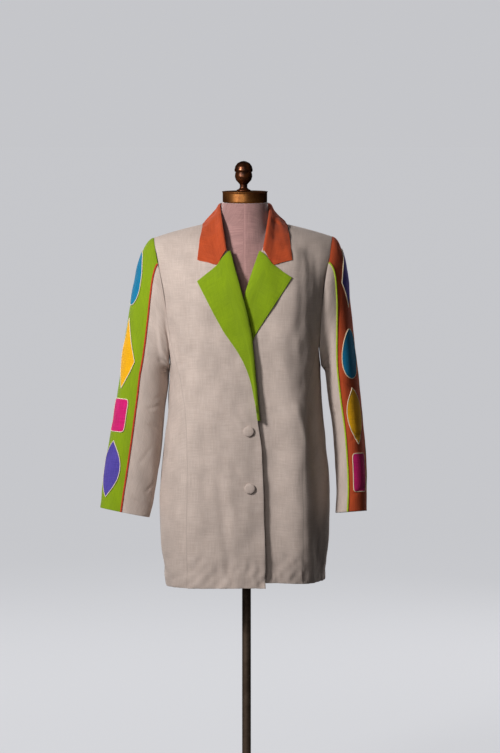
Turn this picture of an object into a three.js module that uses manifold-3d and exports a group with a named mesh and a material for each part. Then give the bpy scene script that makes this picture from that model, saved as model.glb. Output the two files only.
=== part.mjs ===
// A single-breasted linen blazer on a limbless dress form. Millimetres, +Z up, front faces -Y.
// The origin lies on the floor under the pole. The cloth pieces are walls that run through rings
// and seam lines worked out from the sizes below; neighbours keep a small gap at each seam.

import * as THREE from 'three';
import Module from 'manifold-3d';
import { mergeVertices } from 'three/addons/utils/BufferGeometryUtils.js';

const wasm = await Module();
wasm.setup();

// Sizes
const cloth = { wall: 1.5, seam: 0.15, shoulderSeam: 0.4, lay: 0.4 };
const hem = { side: 566, frontRise: 12, leftLift: 11 };    // height of the lower edge
const bodyTop = 1377;                                      // level of the body rings at the shoulder ridge
const shoulder = { neckHeight: 1414, slope: 0.10, fall: 0.00058, ridgeY: 8 };
const neckline = { half: 62, backDip: 14 };
const underarm = 1076;                                     // height of the armhole's lowest point
const tip = { right: 208, left: 199 };                     // shoulder tips from the centre
const jacketShift = -3.6;                                  // the coat hangs a little off the pole's axis
const sink = { depth: 12, near: 8, far: 84 };              // left front lies behind the right one
const frontEase = 172;                                     // height over which the chest rounds into the top
const backEase = 118;                                      // and the back
const boxiness = 2.3;                                      // power of the superellipse of each body ring

// half width, front depth and back depth of the coat at levels measured at the side
const bodyRings = [
  { level: 566, half: 182, front: 140, back: 134 },
  { level: 640, half: 191, front: 143, back: 142 },
  { level: 700, half: 195, front: 145, back: 146 },
  { level: 765, half: 196, front: 146, back: 146 },
  { level: 830, half: 193, front: 146, back: 141 },
  { level: 900, half: 185, front: 144, back: 131 },
  { level: 965, half: 178, front: 142, back: 124 },
  { level: 1064, half: 174, front: 141, back: 121 },
  { level: 1150, half: 183, front: 139, back: 123 },
  { level: 1250, half: 200, front: 134, back: 121 },
  { level: 1330, half: 216, front: 128, back: 116 },
  { level: 1380, half: 224, front: 122, back: 112 },
];

// armhole seam: distance from the centre at each height, front and back alike
const armholeSeam = [
  { z: 1125, x: 170 }, { z: 1150, x: 171.5 }, { z: 1190, x: 176 }, { z: 1240, x: 184 },
  { z: 1285, x: 192 }, { z: 1330, x: 202 }, { z: 1366, x: 208 },
];

// free edge, roll line and neck seam of each front, from hem to shoulder
const rightFrontEdge = [
  { z: 566, x: 48 }, { z: 700, x: 45 }, { z: 800, x: 42 }, { z: 894, x: 38 }, { z: 962, x: 29 },
  { z: 1060, x: 20 }, { z: 1169, x: 8 }, { z: 1348, x: -39.5 }, { z: 1380, x: -54 }, { z: 1406, x: -62 },
];
const leftFrontEdge = [
  { z: 566, x: -12 }, { z: 900, x: -15 }, { z: 962, x: -15 }, { z: 1060, x: -13 },
  { z: 1169, x: -7 }, { z: 1238, x: 3 }, { z: 1348, x: 39.5 }, { z: 1380, x: 54 }, { z: 1406, x: 62 },
];
const princessSeam = [
  { z: 566, x: 133 }, { z: 700, x: 132 }, { z: 850, x: 131 }, { z: 930, x: 132 },
  { z: 1000, x: 138 }, { z: 1060, x: 149 }, { z: 1110, x: 161 }, { z: 1148.5, x: 171.5 },
];

// lapels: outer edge from the break up to the peak, and the top edge from roll line to peak
const rightLapelEdge = [
  { z: 966, x: 27 }, { z: 1008, x: 21 }, { z: 1066, x: 8 }, { z: 1112, x: -13 }, { z: 1169, x: -51 },
  { z: 1276, x: -107.5 },
];
const leftLapelEdge = [
  { z: 1010, x: -11 }, { z: 1080, x: 2 }, { z: 1141, x: 18 }, { z: 1169, x: 32 }, { z: 1284, x: 106 },
];
const notch = { share: 0.35, drop: 8.6 };                  // the lapel's top edge dips here, below the collar

// soft folds of the cloth: centre line from top to bottom, width, depth (inward is positive)
const frontFolds = [
  { name: 'chest trough', topZ: 1372, topX: 152, lowZ: 1160, lowX: 150, width: 15, depth: 4.0 },
  { name: 'hip trough', topZ: 1010, topX: 152, lowZ: 545, lowX: 176, width: 13, depth: 14.0 },
  { name: 'left front fullness', topZ: 1345, topX: 120, lowZ: 600, lowX: 134, width: 46, depth: -11.0 },
  { name: 'left skirt fullness', topZ: 1020, topX: 136, lowZ: 560, lowX: 144, width: 40, depth: -8.0 },
  { name: 'waist ridge', topZ: 1000, topX: 116, lowZ: 900, lowX: 144, width: 10, depth: -3.0 },
  { name: 'hip ridge', topZ: 960, topX: 142, lowZ: 550, lowX: 156, width: 12, depth: -4.0 },
  { name: 'right front fullness', topZ: 1300, topX: -122, lowZ: 570, lowX: -132, width: 46, depth: -7.0 },
  { name: 'right hip trough', topZ: 960, topX: -90, lowZ: 660, lowX: -84, width: 18, depth: 2.6 },
  { name: 'right waist drag', topZ: 850, topX: -62, lowZ: 590, lowX: -30, width: 13, depth: 2.2 },
  { name: 'right bust ease', topZ: 1130, topX: -120, lowZ: 1010, lowX: -150, width: 12, depth: 3.0 },
];
const backFolds = [
  { name: 'centre back hollow', topZ: 1080, topX: 0, lowZ: 840, lowX: 0, width: 26, depth: 4.0 },
  { name: 'right shoulder blade fold', topZ: 1250, topX: -138, lowZ: 930, lowX: -112, width: 13, depth: 5.0 },
  { name: 'left shoulder blade fold', topZ: 1240, topX: 142, lowZ: 960, lowX: 118, width: 12, depth: 4.0 },
  { name: 'right skirt fold', topZ: 800, topX: -96, lowZ: 545, lowX: -112, width: 18, depth: 6.0 },
  { name: 'left skirt fold', topZ: 820, topX: 88, lowZ: 545, lowX: 108, width: 18, depth: 6.5 },
];

// sleeve rings: outer and inner edge from the centre, middle and half depth in Y, tilt of the ring in X and Y
const rightSleeveRings = [
  { z: 1060, outer: 286, inner: 178.5, midY: -2, deep: 60, tilt: 0.00, pitch: 0.02 },
  { z: 1000, outer: 295, inner: 182.5, midY: -6, deep: 57, tilt: 0.03, pitch: 0.04 },
  { z: 930, outer: 307, inner: 188, midY: -11, deep: 52, tilt: 0.06, pitch: 0.06 },
  { z: 850, outer: 320, inner: 197, midY: -19, deep: 45, tilt: 0.11, pitch: 0.09 },
  { z: 790, outer: 328, inner: 208, midY: -28, deep: 39, tilt: 0.16, pitch: 0.10 },
  { z: 739, outer: 333, inner: 219, midY: -37, deep: 35, tilt: 0.20, pitch: 0.10 },
];
const leftSleeveRings = [
  { z: 1060, outer: 260, inner: 184, midY: -4, deep: 70, tilt: 0.00, pitch: 0.02 },
  { z: 1000, outer: 266, inner: 191, midY: -8, deep: 68, tilt: 0.01, pitch: 0.05 },
  { z: 930, outer: 272, inner: 202, midY: -14, deep: 65, tilt: 0.03, pitch: 0.08 },
  { z: 850, outer: 278, inner: 208, midY: -27, deep: 61, tilt: 0.05, pitch: 0.12 },
  { z: 790, outer: 279, inner: 210, midY: -38, deep: 57, tilt: 0.06, pitch: 0.14 },
  { z: 742, outer: 279, inner: 207, midY: -48, deep: 53, tilt: 0.07, pitch: 0.15 },
];
// angles round the armhole, degrees: -90 underarm, 0 front, 90 shoulder tip, 180 back
const ringAngles = [-90, -75, -60, -45, -30, -15, 0, 15, 28, 38, 52, 64, 77, 90];
const band = { topFront: 38, topBack: 142 };
const rightBand = { lowFront: 8, lowBack: 118 };
const leftBand = { lowFront: -14, lowBack: 104 };

// collar stations from centre back to the front end: roll line, a point on the fall, outer edge
const collarStations = [
  { rollX: 0, rollY: 62, rollZ: 1449, midX: 0, midZ: 1424, outX: 0, outZ: 1384 },  // centre back
  { rollX: 34, rollY: 51, rollZ: 1448, midX: 42, midZ: 1424, outX: 58, outZ: 1386 },  // back
  { rollX: 52, rollY: 28, rollZ: 1446, midX: 64, midZ: 1428, outX: 86, outZ: 1394 },  // behind the shoulder
  { rollX: 56, rollY: 2, rollZ: 1443, midX: 69, midZ: 1430, outX: 93, outZ: 1405 },  // shoulder
  { rollX: 54, rollY: -30, rollZ: 1424, midX: 70, midZ: 1411, outX: 98, outZ: 1388 },  // before the shoulder
  { rollX: 48.5, rollY: -70, rollZ: 1391, midX: 68, midZ: 1372, outX: 103, outZ: 1360 },  // chest
  { rollX: 40.5, rollY: -104, rollZ: 1347, midX: 63.5, midZ: 1313.5, outX: 107, outZ: 1322.5 },  // front end
];
const collarLift = 3.2;                                    // outer face of the fall above the coat
// stand of the collar behind and before, and how far its sections step out from the roll line
const collarStand = { back: 46, front: 4, seamOut: 3, lowOut: 0.8, overOut: 5.5, overDrop: 1 };
const collarTurn = 2.4;                                    // radians from centre back to the front end
const collarColumns = 13;                                  // columns of each half

const button = { radius: 12, dome: 2.7, rim: 1.1, shankRadius: 3, shank: 0.6 };
const buttons = [
  { name: 'button_upper', x: 8.5, z: 938 },
  { name: 'button_lower', x: 11, z: 808 },
];

// dress form rings: half width, front and back depth; the shoulders follow the coat's own shoulder line
const formRings = [
  { z: 724, half: 142, front: 84, back: 92 },
  { z: 760, half: 160, front: 98, back: 112 },
  { z: 820, half: 167, front: 108, back: 118 },
  { z: 880, half: 155, front: 106, back: 106 },
  { z: 960, half: 122, front: 92, back: 86 },
  { z: 1010, half: 118, front: 90, back: 82 },
  { z: 1080, half: 136, front: 108, back: 90 },
  { z: 1140, half: 146, front: 120, back: 98 },
  { z: 1200, half: 150, front: 114, back: 102 },
  { z: 1270, half: 160, front: 105, back: 98 },
  { z: 1320, half: 166, front: 92, back: 88 },
  { z: 1348, half: 162, front: 79, back: 80 },
];
const formShoulder = [150, 132, 114, 98, 84, 76];          // half widths of the rings under the shoulders
const formNeck = [
  { z: 1250, half: 100, front: 112, back: 80, midY: 4 },
  { z: 1290, half: 92, front: 108, back: 70, midY: 4 },
  { z: 1330, half: 80, front: 97, back: 64, midY: 3 },
  { z: 1360, half: 69, front: 84, back: 58, midY: 2 },
  { z: 1385, half: 60.5, front: 69, back: 55, midY: 1 },
  { z: 1410, half: 55.6, front: 57.5, back: 52, midY: 0 },
  { z: 1449, half: 53.2, front: 51, back: 50, midY: 0 },
];
const formSeat = 0.45;                                     // form to cloth where the shoulders carry the coat
const formShoulderDrop = 0.12;                             // the shoulder ends fall away under the padding
const formSlim = 0.74;                                     // share of that room which the form fills
const formRoom = 0.9;                                      // form to cloth beside the shoulder line
const formFacets = 24;
const formSharp = { torso: 2.1, shoulder: 1.7, neck: 2 };   // powers of the rings' outlines
const neckCap = { radius: 51, height: 25.5, lip: 1.6, bottom: 1449.4 };
const restGap = 0.3;                                       // between turned pieces that stand on each other
const finialShift = -3;
const pole = { radius: 10.2, bottom: 44.3, top: 706 };
const socket = { radius: 30, plateRadius: 62, plate: 5, height: 17 };
const foot = { radius: 205, edge: 8, height: 26, hub: 24, hubHeight: 44 };

// acorn finial profile above the neck cap: radius and height
const finialProfile = [
  { r: 0, z: 0 }, { r: 16, z: 0 }, { r: 16.5, z: 2.5 }, { r: 11, z: 5 }, { r: 8.6, z: 8 }, { r: 8.6, z: 15 },
  { r: 12, z: 19 }, { r: 17.5, z: 25 }, { r: 20, z: 33 }, { r: 19.4, z: 40 }, { r: 18, z: 43 },
  { r: 20.6, z: 45 }, { r: 21, z: 49 }, { r: 19, z: 57 }, { r: 14, z: 64 }, { r: 6, z: 68 }, { r: 0, z: 69 },
];

// Finishes
const paint = (colour, roughness, metalness = 0) =>
  new THREE.MeshStandardMaterial({ color: colour, roughness, metalness });
const finish = {
  linen: paint(0xc8bcb0, 0.9),
  orange: paint(0xbb522b, 0.85),
  green: paint(0x85a014, 0.85),
  lime: paint(0xaabe32, 0.8),
  red: paint(0xbe4628, 0.8),
  yellow: paint(0xfabe00, 0.8),
  magenta: paint(0xe11e78, 0.8),
  purple: paint(0x584ba5, 0.8),
  teal: paint(0x0082af, 0.8),
  formCloth: paint(0x94777a, 0.95),
  bronze: paint(0x8c5a32, 0.35, 1),
  poleMetal: paint(0x5a3219, 0.4, 1),
};

// Small helpers
const degrees = Math.PI / 180;
const clamp = (value, low, high) => Math.min(high, Math.max(low, value));
const mix = (a, b, t) => a + (b - a) * t;
const ease = (t) => {
  const c = clamp(t, 0, 1);
  return c * c * (3 - 2 * c);
};

// cubic through the rows of a table, read at `at` in the column `key`
function along(table, key, at, column) {
  const ascending = table[table.length - 1][key] > table[0][key];
  const rows = ascending ? table : [...table].reverse();
  const last = rows.length - 1;
  const x = clamp(at, rows[0][key], rows[last][key]);
  let i = 0;
  while (i < last - 1 && x > rows[i + 1][key]) i += 1;
  const slope = (n) => {
    const low = rows[Math.max(n - 1, 0)];
    const high = rows[Math.min(n + 1, last)];
    return (high[column] - low[column]) / (high[key] - low[key]);
  };
  const step = rows[i + 1][key] - rows[i][key];
  const t = (x - rows[i][key]) / step;
  const start = rows[i][column] * (1 + 2 * t) * (1 - t) ** 2 + slope(i) * step * t * (1 - t) ** 2;
  const end = rows[i + 1][column] * t * t * (3 - 2 * t) + slope(i + 1) * step * t * t * (t - 1);
  return start + end;
}

// The coat's body
const ridgeHeight = (x) => shoulder.neckHeight - shoulder.slope * Math.abs(x) - shoulder.fall * x * x;
const ringLevel = (k) => mix(hem.side, bodyTop, k);

// lower edge at an angle round the body; the lift belongs to the wearer's left side
const hemHeight = (angle, lift) =>
  hem.side + hem.frontRise * Math.max(0, Math.cos(angle)) + hem.leftLift * lift;

// how much of a fold is felt at (x, z)
function foldDepth(folds, x, z) {
  let depth = 0;
  for (const fold of folds) {
    const t = (fold.topZ - z) / (fold.topZ - fold.lowZ);
    const fade = ease(t * 4 + 0.4) * ease((1 - t) * 4 + 0.4);
    const centre = mix(fold.topX, fold.lowX, clamp(t, -0.2, 1.2));
    depth += fold.depth * fade * Math.exp(-(((x - centre) / fold.width) ** 2));
  }
  return depth;
}

// how far the left front lies behind the right one
function sinkDepth(x, z) {
  const edge = along(rightFrontEdge, 'z', z, 'x');
  return sink.depth * (1 - ease((x - edge - sink.near) / (sink.far - sink.near)));
}

// point of the coat's outer face: angle round the body from the front, share k of the height
function bodyPoint(angle, k, { lift = 0, sunk = false } = {}) {
  const level = ringLevel(k);
  const half = along(bodyRings, 'level', level, 'half');
  const isFront = Math.cos(angle) >= 0;
  const deep = along(bodyRings, 'level', level, isFront ? 'front' : 'back');
  const s = Math.sin(angle);
  const c = Math.cos(angle);
  const reach = (Math.abs(s / half) ** boxiness + Math.abs(c / deep) ** boxiness) ** (-1 / boxiness);
  const x = reach * s;
  const low = hemHeight(angle, lift);
  const ridge = ridgeHeight(x);
  const z = low + k * (ridge - low);
  const below = clamp((ridge - z) / (isFront ? frontEase : backEase), 0, 1);
  const rounded = Math.sqrt(1 - (1 - below) ** 2);
  const flat = -reach * c;
  let inward = foldDepth(isFront ? frontFolds : backFolds, x, z) * ease(below * 3) * ease(Math.abs(c) * 3);
  if (sunk) inward += sinkDepth(x, z);
  const side = isFront ? 1 : -1;
  const y = mix(shoulder.ridgeY, flat, rounded) + side * inward;
  return new THREE.Vector3(x, y, z);
}

// angle round the body at which the outer face passes x
function angleAt(x, k, isFront = true) {
  const level = ringLevel(k);
  const half = along(bodyRings, 'level', level, 'half');
  const deep = along(bodyRings, 'level', level, isFront ? 'front' : 'back');
  const share = Math.min(1, Math.abs(x / half) ** boxiness);
  const y = deep * (1 - share) ** (1 / boxiness);
  return isFront ? Math.atan2(x, y) : Math.atan2(x, -y);
}

// share of the height at which (x, z) lies
function shareAt(x, z, lift, isFront = true) {
  let k = (z - hem.side) / (ridgeHeight(x) - hem.side);
  for (let turn = 0; turn < 3; turn += 1) {
    const low = hemHeight(angleAt(x, clamp(k, 0, 1), isFront), lift);
    k = (z - low) / (ridgeHeight(x) - low);
  }
  return clamp(k, 0, 1);
}

// outward normal of the coat's body at a place
function bodyNormal(angle, k, options = {}) {
  const turn = 0.004;
  const climb = 0.0008;
  const high = Math.min(k + climb, 1);
  const across = bodyPoint(angle + turn, k, options).sub(bodyPoint(angle - turn, k, options));
  const up = bodyPoint(angle, high, options).sub(bodyPoint(angle, Math.max(high - 2 * climb, 0), options));
  return across.cross(up).normalize();
}

// point above (x, z) of the front or back, moved out along the normal
function above(x, z, up, options = {}) {
  const { lift = 0, isFront = true } = options;
  const k = shareAt(x, z, lift, isFront);
  const angle = angleAt(x, k, isFront);
  return bodyPoint(angle, k, options).addScaledVector(bodyNormal(angle, k, options), up);
}

// the back's hem lift grows from the right side to the left
const backLift = (angle) => ease((Math.sin(angle) * 1.25 + 1) / 2);

// Walls
// outward normals of a grid of points, from the points beside each one
function gridNormals(grid, turned) {
  const rows = grid.length;
  const columns = grid[0].length;
  return grid.map((row, r) => row.map((point, c) => {
    const across = row[Math.min(c + 1, columns - 1)].clone().sub(row[Math.max(c - 1, 0)]);
    const up = grid[Math.min(r + 1, rows - 1)][c].clone().sub(grid[Math.max(r - 1, 0)][c]);
    const normal = across.cross(up).normalize();
    return turned ? normal.negate() : normal;
  }));
}

// closed wall from a grid of outer points; the thickness goes to the side away from the normals
function wallGeometry(grid, thickness, turned = false, normals = gridNormals(grid, turned)) {
  const rows = grid.length;
  const columns = grid[0].length;
  const positions = [];
  const index = [];
  for (const depth of [0, thickness]) {
    grid.forEach((row, r) => row.forEach((point, c) => {
      positions.push(...point.clone().addScaledVector(normals[r][c], -depth).toArray());
    }));
  }
  const at = (r, c, layer) => layer * rows * columns + r * columns + c;
  const quad = (a, b, c, d) => (turned ? index.push(a, c, b, a, d, c) : index.push(a, b, c, a, c, d));
  for (let r = 0; r < rows - 1; r += 1) {
    for (let c = 0; c < columns - 1; c += 1) {
      quad(at(r, c, 0), at(r, c + 1, 0), at(r + 1, c + 1, 0), at(r + 1, c, 0));
      quad(at(r, c, 1), at(r + 1, c, 1), at(r + 1, c + 1, 1), at(r, c + 1, 1));
    }
  }
  for (let c = 0; c < columns - 1; c += 1) {
    quad(at(0, c, 0), at(0, c, 1), at(0, c + 1, 1), at(0, c + 1, 0));
    quad(at(rows - 1, c, 0), at(rows - 1, c + 1, 0), at(rows - 1, c + 1, 1), at(rows - 1, c, 1));
  }
  for (let r = 0; r < rows - 1; r += 1) {
    quad(at(r, 0, 0), at(r + 1, 0, 0), at(r + 1, 0, 1), at(r, 0, 1));
    quad(at(r, columns - 1, 0), at(r, columns - 1, 1), at(r + 1, columns - 1, 1), at(r + 1, columns - 1, 0));
  }
  const geometry = new THREE.BufferGeometry();
  geometry.setAttribute('position', new THREE.Float32BufferAttribute(positions, 3));
  geometry.setIndex(index);
  return geometry;
}

const coat = new THREE.Group();
coat.position.x = jacketShift;
const stand = new THREE.Group();

function addPiece(group, name, geometry, material) {
  const mesh = new THREE.Mesh(geometry, material);
  mesh.name = name;
  group.add(mesh);
  return mesh;
}

// Armhole
// height of the armhole seam at an angle round it
const tipOf = (side) => (side < 0 ? tip.right : tip.left);
const armholeZ = (side, turn) => mix(underarm, ridgeHeight(tipOf(side)), 0.5 + 0.5 * Math.sin(turn));
const tipBlend = 200;                                      // height over which the seam moves to its tip
const armholeX = (side, z) => along(armholeSeam, 'z', z, 'x')
  - (tip.right - tipOf(side)) * ease((z - armholeSeam[0].z) / tipBlend);

// angle round the body of the armhole seam at height z
function armholeAngle(z, side, isFront, lift) {
  const lowest = armholeSeam[0].z;
  const x = armholeX(side, z);
  const k = shareAt(side * x, z, lift, isFront);
  const seam = angleAt(side * x, k, isFront);
  if (z >= lowest) return { angle: seam, k };
  const share = (lowest - z) / (lowest - underarm);
  const close = 1 - Math.sqrt(Math.max(0, 1 - share * share));
  const angle = mix(seam, side * Math.PI / 2, close);
  const low = hemHeight(angle, lift);
  const point = bodyPoint(angle, k, { lift });
  return { angle, k: (z - low) / (ridgeHeight(point.x) - low) };
}

// the armhole as places (angle, k) on the body, at an angle round the armhole in degrees
function armholePlace(side, turn, lift) {
  const isFront = turn < 90;
  const z = armholeZ(side, turn * degrees);
  return turn === 90
    ? { angle: angleAt(side * tipOf(side), 1, true), k: 1 }
    : armholeAngle(z, side, isFront, lift);
}

const liftOf = (side) => (side > 0 ? 1 : 0);

// moves a row of points together at its two ends, so that neighbours part at the seam
function partSeams(grid, first, last, gap = cloth.seam) {
  for (const row of grid) {
    const n = row.length;
    const pull = (end, next) => {
      const step = row[next].clone().sub(row[end]);
      if (step.length() > gap * 2) row[end].addScaledVector(step.normalize(), gap);
    };
    if (first) pull(0, 1);
    if (last) pull(n - 1, n - 2);
  }
  return grid;
}

function partRows(grid, first, last, gap = cloth.seam) {
  const turned = grid[0].map((_, c) => grid.map((row) => row[c]));
  partSeams(turned, first, last, gap);
  return turned[0].map((_, r) => turned.map((row) => row[r]));
}

// a row of a grid: `make` gives each item from its share of the row
function gridRow(columns, make) {
  const row = [];
  for (let c = 0; c <= columns; c += 1) row.push(make(c / columns));
  return row;
}

// a linen piece of the coat's body from a grid of places
function addBodyPiece(name, places, turned, firstSeam) {
  const grid = places.map((row) => row.map((place) => bodyPoint(place.angle, place.k, place)));
  const normals = places.map((row) => row.map((place) => bodyNormal(place.angle, place.k, place)));
  partSeams(grid, firstSeam, true);
  const parted = partRows(grid, false, true, cloth.shoulderSeam);
  addPiece(coat, name, wallGeometry(parted, cloth.wall, turned, normals), finish.linen);
}

// Fronts
const princessTurn = -30;                                  // where the princess seam meets the armhole
const rowsBelow = 14;                                      // rows of every panel below the armhole

function frontRows(side) {
  const lift = liftOf(side);
  const start = armholePlace(side, princessTurn, lift).k;
  const below = [];
  for (let i = 0; i < rowsBelow; i += 1) below.push({ k: start * i / rowsBelow });
  const above = ringAngles.filter((turn) => turn >= princessTurn)
    .map((turn) => ({ k: armholePlace(side, turn, lift).k, turn }));
  return [...below, ...above];
}

function princessPlace(side, k, lift) {
  let z = mix(hem.side, bodyTop, k);
  for (let turn = 0; turn < 4; turn += 1) {
    const x = along(princessSeam, 'z', z, 'x');
    const angle = angleAt(side * x, k);
    z = mix(hemHeight(angle, lift), ridgeHeight(x), k);
  }
  return angleAt(side * along(princessSeam, 'z', z, 'x'), k);
}

function edgePlace(table, k, lift) {
  let z = mix(hem.side, bodyTop, k);
  for (let turn = 0; turn < 4; turn += 1) {
    const x = along(table, 'z', z, 'x');
    z = mix(hemHeight(angleAt(x, k), lift), ridgeHeight(x), k);
  }
  return angleAt(along(table, 'z', z, 'x'), k);
}

function frontPanel(side, name) {
  const lift = liftOf(side);
  const edge = side < 0 ? rightFrontEdge : leftFrontEdge;
  const columns = 12;
  const places = frontRows(side).map(({ k, turn }) => {
    const inner = edgePlace(edge, k, lift);
    const outer = turn === undefined ? princessPlace(side, k, lift) : armholePlace(side, turn, lift).angle;
    return gridRow(columns, (share) => ({ angle: mix(inner, outer, share), k, lift, sunk: side > 0 }));
  });
  addBodyPiece(name, places, side < 0, false);
}

// Side fronts
function sideFront(side, name) {
  const lift = liftOf(side);
  const turns = ringAngles.filter((turn) => turn <= princessTurn).reverse();
  const columns = turns.length - 1;
  const fine = 2;                                          // columns between two armhole points
  const topAt = (share) => {
    const place = share * columns;
    const low = Math.min(Math.floor(place), columns - 1);
    const a = armholePlace(side, turns[low], lift);
    const b = armholePlace(side, turns[low + 1], lift);
    const t = place - low;
    return { angle: mix(a.angle, b.angle, t), k: mix(a.k, b.k, t) };
  };
  const first = topAt(0);
  const places = gridRow(rowsBelow, (v) => gridRow(columns * fine, (u) => {
    const top = topAt(u);
    const inner = princessPlace(side, first.k * v, lift);
    const straight = mix(inner, side * Math.PI / 2, u);
    const topStraight = mix(first.angle, side * Math.PI / 2, u);
    const bend = (top.angle - topStraight) * v ** 6;
    return { angle: straight + bend, k: top.k * v, lift, sunk: side > 0 };
  }));
  addBodyPiece(name, places, side < 0, true);
}

// Back
function backPanel(name) {
  const start = { left: armholePlace(1, 270, 1), right: armholePlace(-1, 270, 0) };
  const rows = [];
  for (let i = 0; i < rowsBelow; i += 1) rows.push({ share: i / rowsBelow });
  ringAngles.forEach((turn) => rows.push({ turn: 180 - turn }));
  const columns = 20;
  const places = rows.map(({ share, turn }) => {
    const left = turn === undefined
      ? { angle: Math.PI / 2, k: start.left.k * share } : armholePlace(1, turn, 1);
    const right = turn === undefined
      ? { angle: -Math.PI / 2, k: start.right.k * share } : armholePlace(-1, turn, 0);
    if (turn === 90) {
      left.angle = angleAt(tip.left, 1, false);
      right.angle = angleAt(-tip.right, 1, false);
    }
    return gridRow(columns, (u) => {
      const angle = mix(left.angle, right.angle + 2 * Math.PI, u);
      const k = mix(left.k, right.k, u);
      const lift = backLift(angle);
      const { x } = bodyPoint(angle, k, { lift });
      const dip = neckline.backDip * clamp(1 - (x / neckline.half) ** 2, 0, 1);
      return { angle, k: k - dip / (shoulder.neckHeight - hem.side) * ease((k - 0.9) / 0.1), lift };
    });
  });
  addBodyPiece(name, places, false, true);
}

// Lapels
// a lapel rolls round the front's edge and lies on its outer face
const lapelSection = [
  { share: 0, high: -4.3, beyond: -7 },
  { share: 0, high: -4.7, beyond: 1.4 },
  { share: 0, high: -1.6, beyond: 5 },
  { share: 0, high: 2.8, beyond: 5.4 },
  { share: 0.05, high: 5.6, beyond: 2.4 },
  { share: 0.18, high: 6.2, beyond: 0 },
  { share: notch.share, high: 5.2, beyond: 0 },
  { share: 0.62, high: 4.0, beyond: 0 },
  { share: 0.82, high: 3.4, beyond: 0 },
  { share: 1, high: 3.0, beyond: 0 },
];

const notchShare = (share) => Math.max(0, Math.min(share / notch.share, (1 - share) / (1 - notch.share)));

const lapelShape = { rows: 14, rollTop: 1343.5, rightBreak: 962, leftBreak: 1006 };

function lapel(side, name) {
  const lift = liftOf(side);
  const sunk = side > 0;
  const roll = side < 0 ? rightFrontEdge : leftFrontEdge;
  const outer = side < 0 ? rightLapelEdge : leftLapelEdge;
  const { rows, rollTop, rightBreak, leftBreak } = lapelShape;
  const breakZ = side < 0 ? rightBreak : leftBreak;
  const outerLow = outer[0].z;
  const outerTop = outer[outer.length - 1].z;
  const grid = [];
  for (let r = 0; r <= rows; r += 1) {
    const v = r / rows;
    const rollZ = mix(breakZ, rollTop, v);
    const outZ = mix(outerLow, outerTop, v);
    const rollX = along(roll, 'z', rollZ, 'x');
    const outX = along(outer, 'z', outZ, 'x');
    grid.push(lapelSection.map(({ share, high, beyond }) => {
      const drop = notch.drop * notchShare(share) * v ** 8;
      const x = mix(rollX, outX, Math.max(share, 0)) - side * beyond;
      const z = mix(rollZ, outZ, Math.max(share, 0)) - drop;
      return above(x, z, high, { lift, sunk });
    }));
  }
  addPiece(coat, name, wallGeometry(grid, cloth.wall, side < 0), finish.green);
}

// Collar
function collarPoint(share) {
  const side = share < 0 ? -1 : 1;
  const place = Math.abs(share);
  const table = collarStations.map((row, i) => ({ at: i / (collarStations.length - 1), ...row }));
  const read = (column) => along(table, 'at', place, column);
  const rollAt = new THREE.Vector3(side * read('rollX'), read('rollY'), read('rollZ'));
  const lieOn = (x, z, up) => {
    const isFront = place > 0.5;
    const ridge = ridgeHeight(x);
    if (z > ridge - 0.5) return new THREE.Vector3(side * x, shoulder.ridgeY - (place - 0.5) * 60, z);
    return above(side * x, z, up, { isFront });
  };
  const outer = lieOn(read('outX'), read('outZ'), collarLift);
  const middle = lieOn(read('midX'), read('midZ'), collarLift);
  return { side, place, rollAt, outer, middle };
}

function collar(name) {
  const { back, front, seamOut, lowOut, overOut, overDrop } = collarStand;
  const grid = [];
  for (let i = -collarColumns; i <= collarColumns; i += 1) {
    const { side, place, rollAt, outer, middle } = collarPoint(i / collarColumns);
    const height = mix(back, front, ease(place * 1.05));
    const turn = place * collarTurn;
    const outDir = new THREE.Vector3(side * Math.sin(turn), Math.cos(turn), 0);
    if (place === 0) outDir.set(0, 1, 0);
    const mid = rollAt.clone().lerp(outer, 0.38);
    mid.lerp(middle, ease((place - 0.6) / 0.4));
    const seamAt = rollAt.clone().addScaledVector(outDir, seamOut);
    seamAt.z -= height;
    const low = rollAt.clone().addScaledVector(outDir, lowOut);
    low.z -= height * 0.5;
    const over = rollAt.clone().addScaledVector(outDir, overOut);
    over.z -= overDrop;
    const far = mid.clone().lerp(outer, 0.5);
    grid.push([seamAt, low, rollAt, over, over.clone().lerp(mid, 0.5), mid, far, outer]);
  }
  addPiece(coat, name, wallGeometry(grid, cloth.wall, true), finish.orange);
}

// Sleeves
const sleeveParts = {
  right: { side: -1, rings: rightSleeveRings, low: rightBand, cloth: 'green', trim: 'red' },
  left: { side: 1, rings: leftSleeveRings, low: leftBand, cloth: 'orange', trim: 'lime' },
};
const capShare = 0.42;                                     // share of the sleeve above its first ring
const sleeveSeam = 0.22;                                   // half gap between the two pieces of a sleeve
// how the cap leaves the armhole, at the tip and at the underarm, and arrives at the first ring
const capLeave = { out: 0.8, tipOut: 0.2, armOut: 0.6, down: -0.5, tipUp: 0.42, armUp: 0.5, along: 0.2 };
const capReach = { tip: 0.4, arm: 0.6, end: 0.9 };
const capArrive = { out: 0.12, front: -0.05 };
const armholeStep = 0.4;                                   // sleeve to body at the armhole seam

// angle round the sleeve of a place that starts at `turn` on the armhole and ends at its low angle
function sleeveTurn(turn, v, low) {
  const lowTurn = turn <= band.topFront
    ? mix(-90, low.lowFront, (turn + 90) / (band.topFront + 90))
    : turn <= band.topBack
      ? mix(low.lowFront, low.lowBack, (turn - band.topFront) / (band.topBack - band.topFront))
      : mix(low.lowBack, 270, (turn - band.topBack) / (270 - band.topBack));
  return mix(turn, lowTurn, ease(v / capShare));
}

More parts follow.
